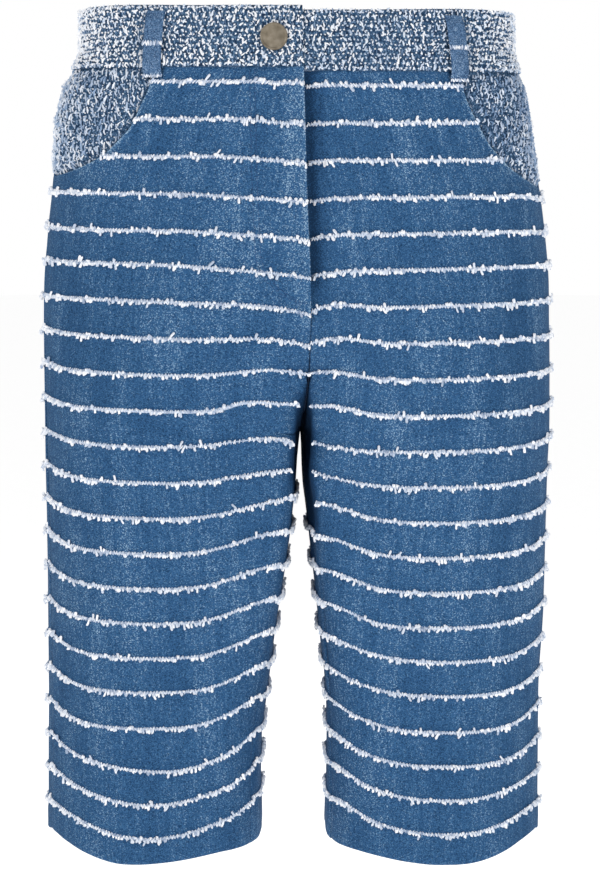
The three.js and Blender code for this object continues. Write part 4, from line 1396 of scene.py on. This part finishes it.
def colour_setting(name, description, default):
    return bpy.props.FloatVectorProperty(
        name=name, description=description, default=linear(default)[:3], min=0.0, max=1.0,
        subtype="COLOR", size=3,
    )


class ShortsSettings(bpy.types.PropertyGroup):
    stitch_pitch: length_setting(
        "Chain pitch", "Distance between neighbouring stitches along a frayed band",
        0.00108, 0.0008, 0.004, precision=5,
    )
    tuft_gap: length_setting(
        "Tuft gap", "Mean distance along a band between places where yarn ends may stand out",
        0.0015, 0.0008, 0.02, precision=5,
    )
    tuft_length: length_setting(
        "Tuft length", "Usual length of a yarn end past the edge of its band",
        0.0015, 0.0003, 0.005, precision=5,
    )
    denim_colour: colour_setting(
        "Denim", "Colour of the washed denim between its weft specks", "#28507b"
    )
    fray_colour: colour_setting("Frayed bands", "Colour of the bands' palest yarn", "#fbfcff")
    tweed_colour: colour_setting("Tweed slubs", "Colour of the tweed's palest slubs", "#fbfcff")
    button_colour: colour_setting("Button", "Colour of the button's plating", "#857c6d")


class StageSettings(bpy.types.PropertyGroup):
    floor_drop: length_setting(
        "Floor below hem", "How far below the hems a wearer would stand", 0.5, 0.0, 1.5
    )
    ambient: bpy.props.FloatProperty(
        name="Room light", description="Strength of the even light from all round",
        default=0.29, min=0.0, max=2.0,
    )
    floor_glow: bpy.props.FloatProperty(
        name="Floor glow", description="How strongly the floor shines by itself, so that it stays white",
        default=0.7, min=0.0, max=2.0,
    )
    backdrop: colour_setting("Backdrop", "Colour of the floor and the background", "#ffffff")


class SHORTS_OT_denim(bpy.types.Operator):
    """Make the four denim panels"""

    bl_idname = "shorts.denim"
    bl_label = "Denim panels"

    def execute(self, context):
        for name in PANELS:
            denim_panel(name)
        return {"FINISHED"}


class SHORTS_OT_fray(bpy.types.Operator):
    """Make the frayed bands of each denim panel"""

    bl_idname = "shorts.fray"
    bl_label = "Frayed bands"

    def execute(self, context):
        picked = context.scene.shorts_settings
        sizes = (picked.stitch_pitch / MM, picked.tuft_gap / MM, picked.tuft_length / MM)
        for name in PANELS:
            bands = frayed_bands(name, *sizes)
        return {"FINISHED"}


class SHORTS_OT_tweed(bpy.types.Operator):
    """Make the tweed waistband and the tweed facings in the pocket mouths"""

    bl_idname = "shorts.tweed"
    bl_label = "Tweed waistband and facings"

    def execute(self, context):
        for side in SIDES:
            band, slubs = waistband_half(side), waistband_slubs(side)
            facing, slubs = pocket_facing(side), facing_slubs(side)
        return {"FINISHED"}


class SHORTS_OT_loops(bpy.types.Operator):
    """Make the five belt loops with their frayed lines and foot stitches"""

    bl_idname = "shorts.loops"
    bl_label = "Belt loops"

    def execute(self, context):
        for name in LOOPS:
            strip, trim = belt_loop(name), loop_trim(name)
        return {"FINISHED"}


class SHORTS_OT_button(bpy.types.Operator):
    """Make the shank button"""

    bl_idname = "shorts.button"
    bl_label = "Shank button"

    def execute(self, context):
        shank_button()
        return {"FINISHED"}


class SHORTS_OT_stitching(bpy.types.Operator):
    """Make the fly's topstitching"""

    bl_idname = "shorts.stitching"
    bl_label = "Topstitching"

    def execute(self, context):
        topstitching()
        return {"FINISHED"}


class SHORTS_OT_stage(bpy.types.Operator):
    """Make the pale floor, the soft studio lights and the camera at the photograph's angle"""

    bl_idname = "shorts.stage"
    bl_label = "Floor, light and camera"

    def execute(self, context):
        scene = context.scene
        stage = scene.shorts_stage
        hem = CAD_BOX[0].z - stage.floor_drop
        bpy.ops.object.select_all(action="DESELECT")
        bpy.ops.mesh.primitive_circle_add(vertices=96, radius=14, fill_type="NGON", location=(0, 0, hem))
        floor = context.object
        floor.name = "studio_floor"
        bpy.ops.object.transform_apply(location=True)
        paint, tree = new_material("matt_white_paint")
        where = node(tree, "TexCoord", out="Object")
        speck = node(tree, "TexNoise", {"Vector": where, "Scale": 40.0}, "Fac")
        stops = ((0.3, "#f7f7f7"), (0.7, "#fdfdfd"))
        finish = {
            "Base Color": node(tree, "ValToRGB", {"Fac": speck}, "Color", stops),
            "Roughness": 0.9,
            "Specular IOR Level": 0.1,
            "Emission Color": (1, 1, 1, 1),
            "Emission Strength": stage.floor_glow,
        }
        surface = node(tree, "BsdfPrincipled", finish, "BSDF")
        node(tree, "OutputMaterial", {"Surface": surface})
        floor.data.materials.append(paint)

        world = bpy.data.worlds.new("soft_studio")
        scene.world = world
        world.use_nodes = True
        tree = world.node_tree
        tree.nodes.clear()
        seen = node(tree, "LightPath", out="Is Camera Ray")
        glow = {"Value": seen, "To Min": stage.ambient, "To Max": 1.0}
        strength = node(tree, "MapRange", glow, "Result")
        sky = {"Color": (*stage.backdrop, 1), "Strength": strength}
        node(tree, "OutputWorld", {"Surface": node(tree, "Background", sky, "Background")})

        for name, place, aim, size, power in (
            ("key_softbox", (-1.4, -2.0, 1.1), (0, 0, -0.25), 1.0, 31),
            ("fill_softbox", (1.5, -1.8, 0.2), (0, 0, -0.3), 1.6, 20),
            ("back_softbox", (0.6, 2.3, 0.9), (0, 0, -0.25), 1.8, 17),
        ):
            light = bpy.data.lights.new(name, "AREA")
            light.size = size
            light.energy = power
            lamp = bpy.data.objects.new(name, light)
            scene.collection.objects.link(lamp)
            lamp.location = place
            lamp.rotation_mode = "QUATERNION"
            lamp.rotation_quaternion = (Vector(aim) - Vector(place)).to_track_quat("-Z", "Y")

        eye, target = Vector((0.0014, -1.6, -0.07375)), Vector((0.0014, 0, -0.27675))
        camera = bpy.data.objects.new("camera", bpy.data.cameras.new("camera"))
        scene.collection.objects.link(camera)
        camera.location = eye
        camera.rotation_mode = "QUATERNION"
        camera.rotation_quaternion = (target - eye).to_track_quat("-Z", "Y")
        camera.data.sensor_width = 36
        camera.data.lens = 93.25
        scene.camera = camera
        scene.view_settings.view_transform = "Standard"
        return {"FINISHED"}


class SHORTS_PT_panel(bpy.types.Panel):
    """Lists the steps that dress the shorts"""

    bl_label = "Bermuda shorts"
    bl_idname = "SHORTS_PT_panel"
    bl_space_type = "VIEW_3D"
    bl_region_type = "UI"
    bl_category = "Shorts"

    def draw(self, context):
        column = self.layout.column()
        for name in ShortsSettings.__annotations__:
            column.prop(context.scene.shorts_settings, name)
        for operator in OPERATORS:
            column.operator(operator.bl_idname)
        for name in StageSettings.__annotations__:
            column.prop(context.scene.shorts_stage, name)


OPERATORS = (
    SHORTS_OT_denim,
    SHORTS_OT_fray,
    SHORTS_OT_tweed,
    SHORTS_OT_loops,
    SHORTS_OT_button,
    SHORTS_OT_stitching,
    SHORTS_OT_stage,
)
CLASSES = (ShortsSettings, StageSettings, *OPERATORS, SHORTS_PT_panel)


def register():
    for made in CLASSES:
        bpy.utils.register_class(made)
    bpy.types.Scene.shorts_settings = bpy.props.PointerProperty(type=ShortsSettings)
    bpy.types.Scene.shorts_stage = bpy.props.PointerProperty(type=StageSettings)


def unregister():
    del bpy.types.Scene.shorts_stage
    del bpy.types.Scene.shorts_settings
    for made in reversed(CLASSES):
        bpy.utils.unregister_class(made)


def main():
    register()
    bpy.ops.shorts.denim()
    bpy.ops.shorts.fray()
    bpy.ops.shorts.tweed()
    bpy.ops.shorts.loops()
    bpy.ops.shorts.button()
    bpy.ops.shorts.stitching()
    bpy.ops.shorts.stage()


if __name__ == "__main__":
    main()
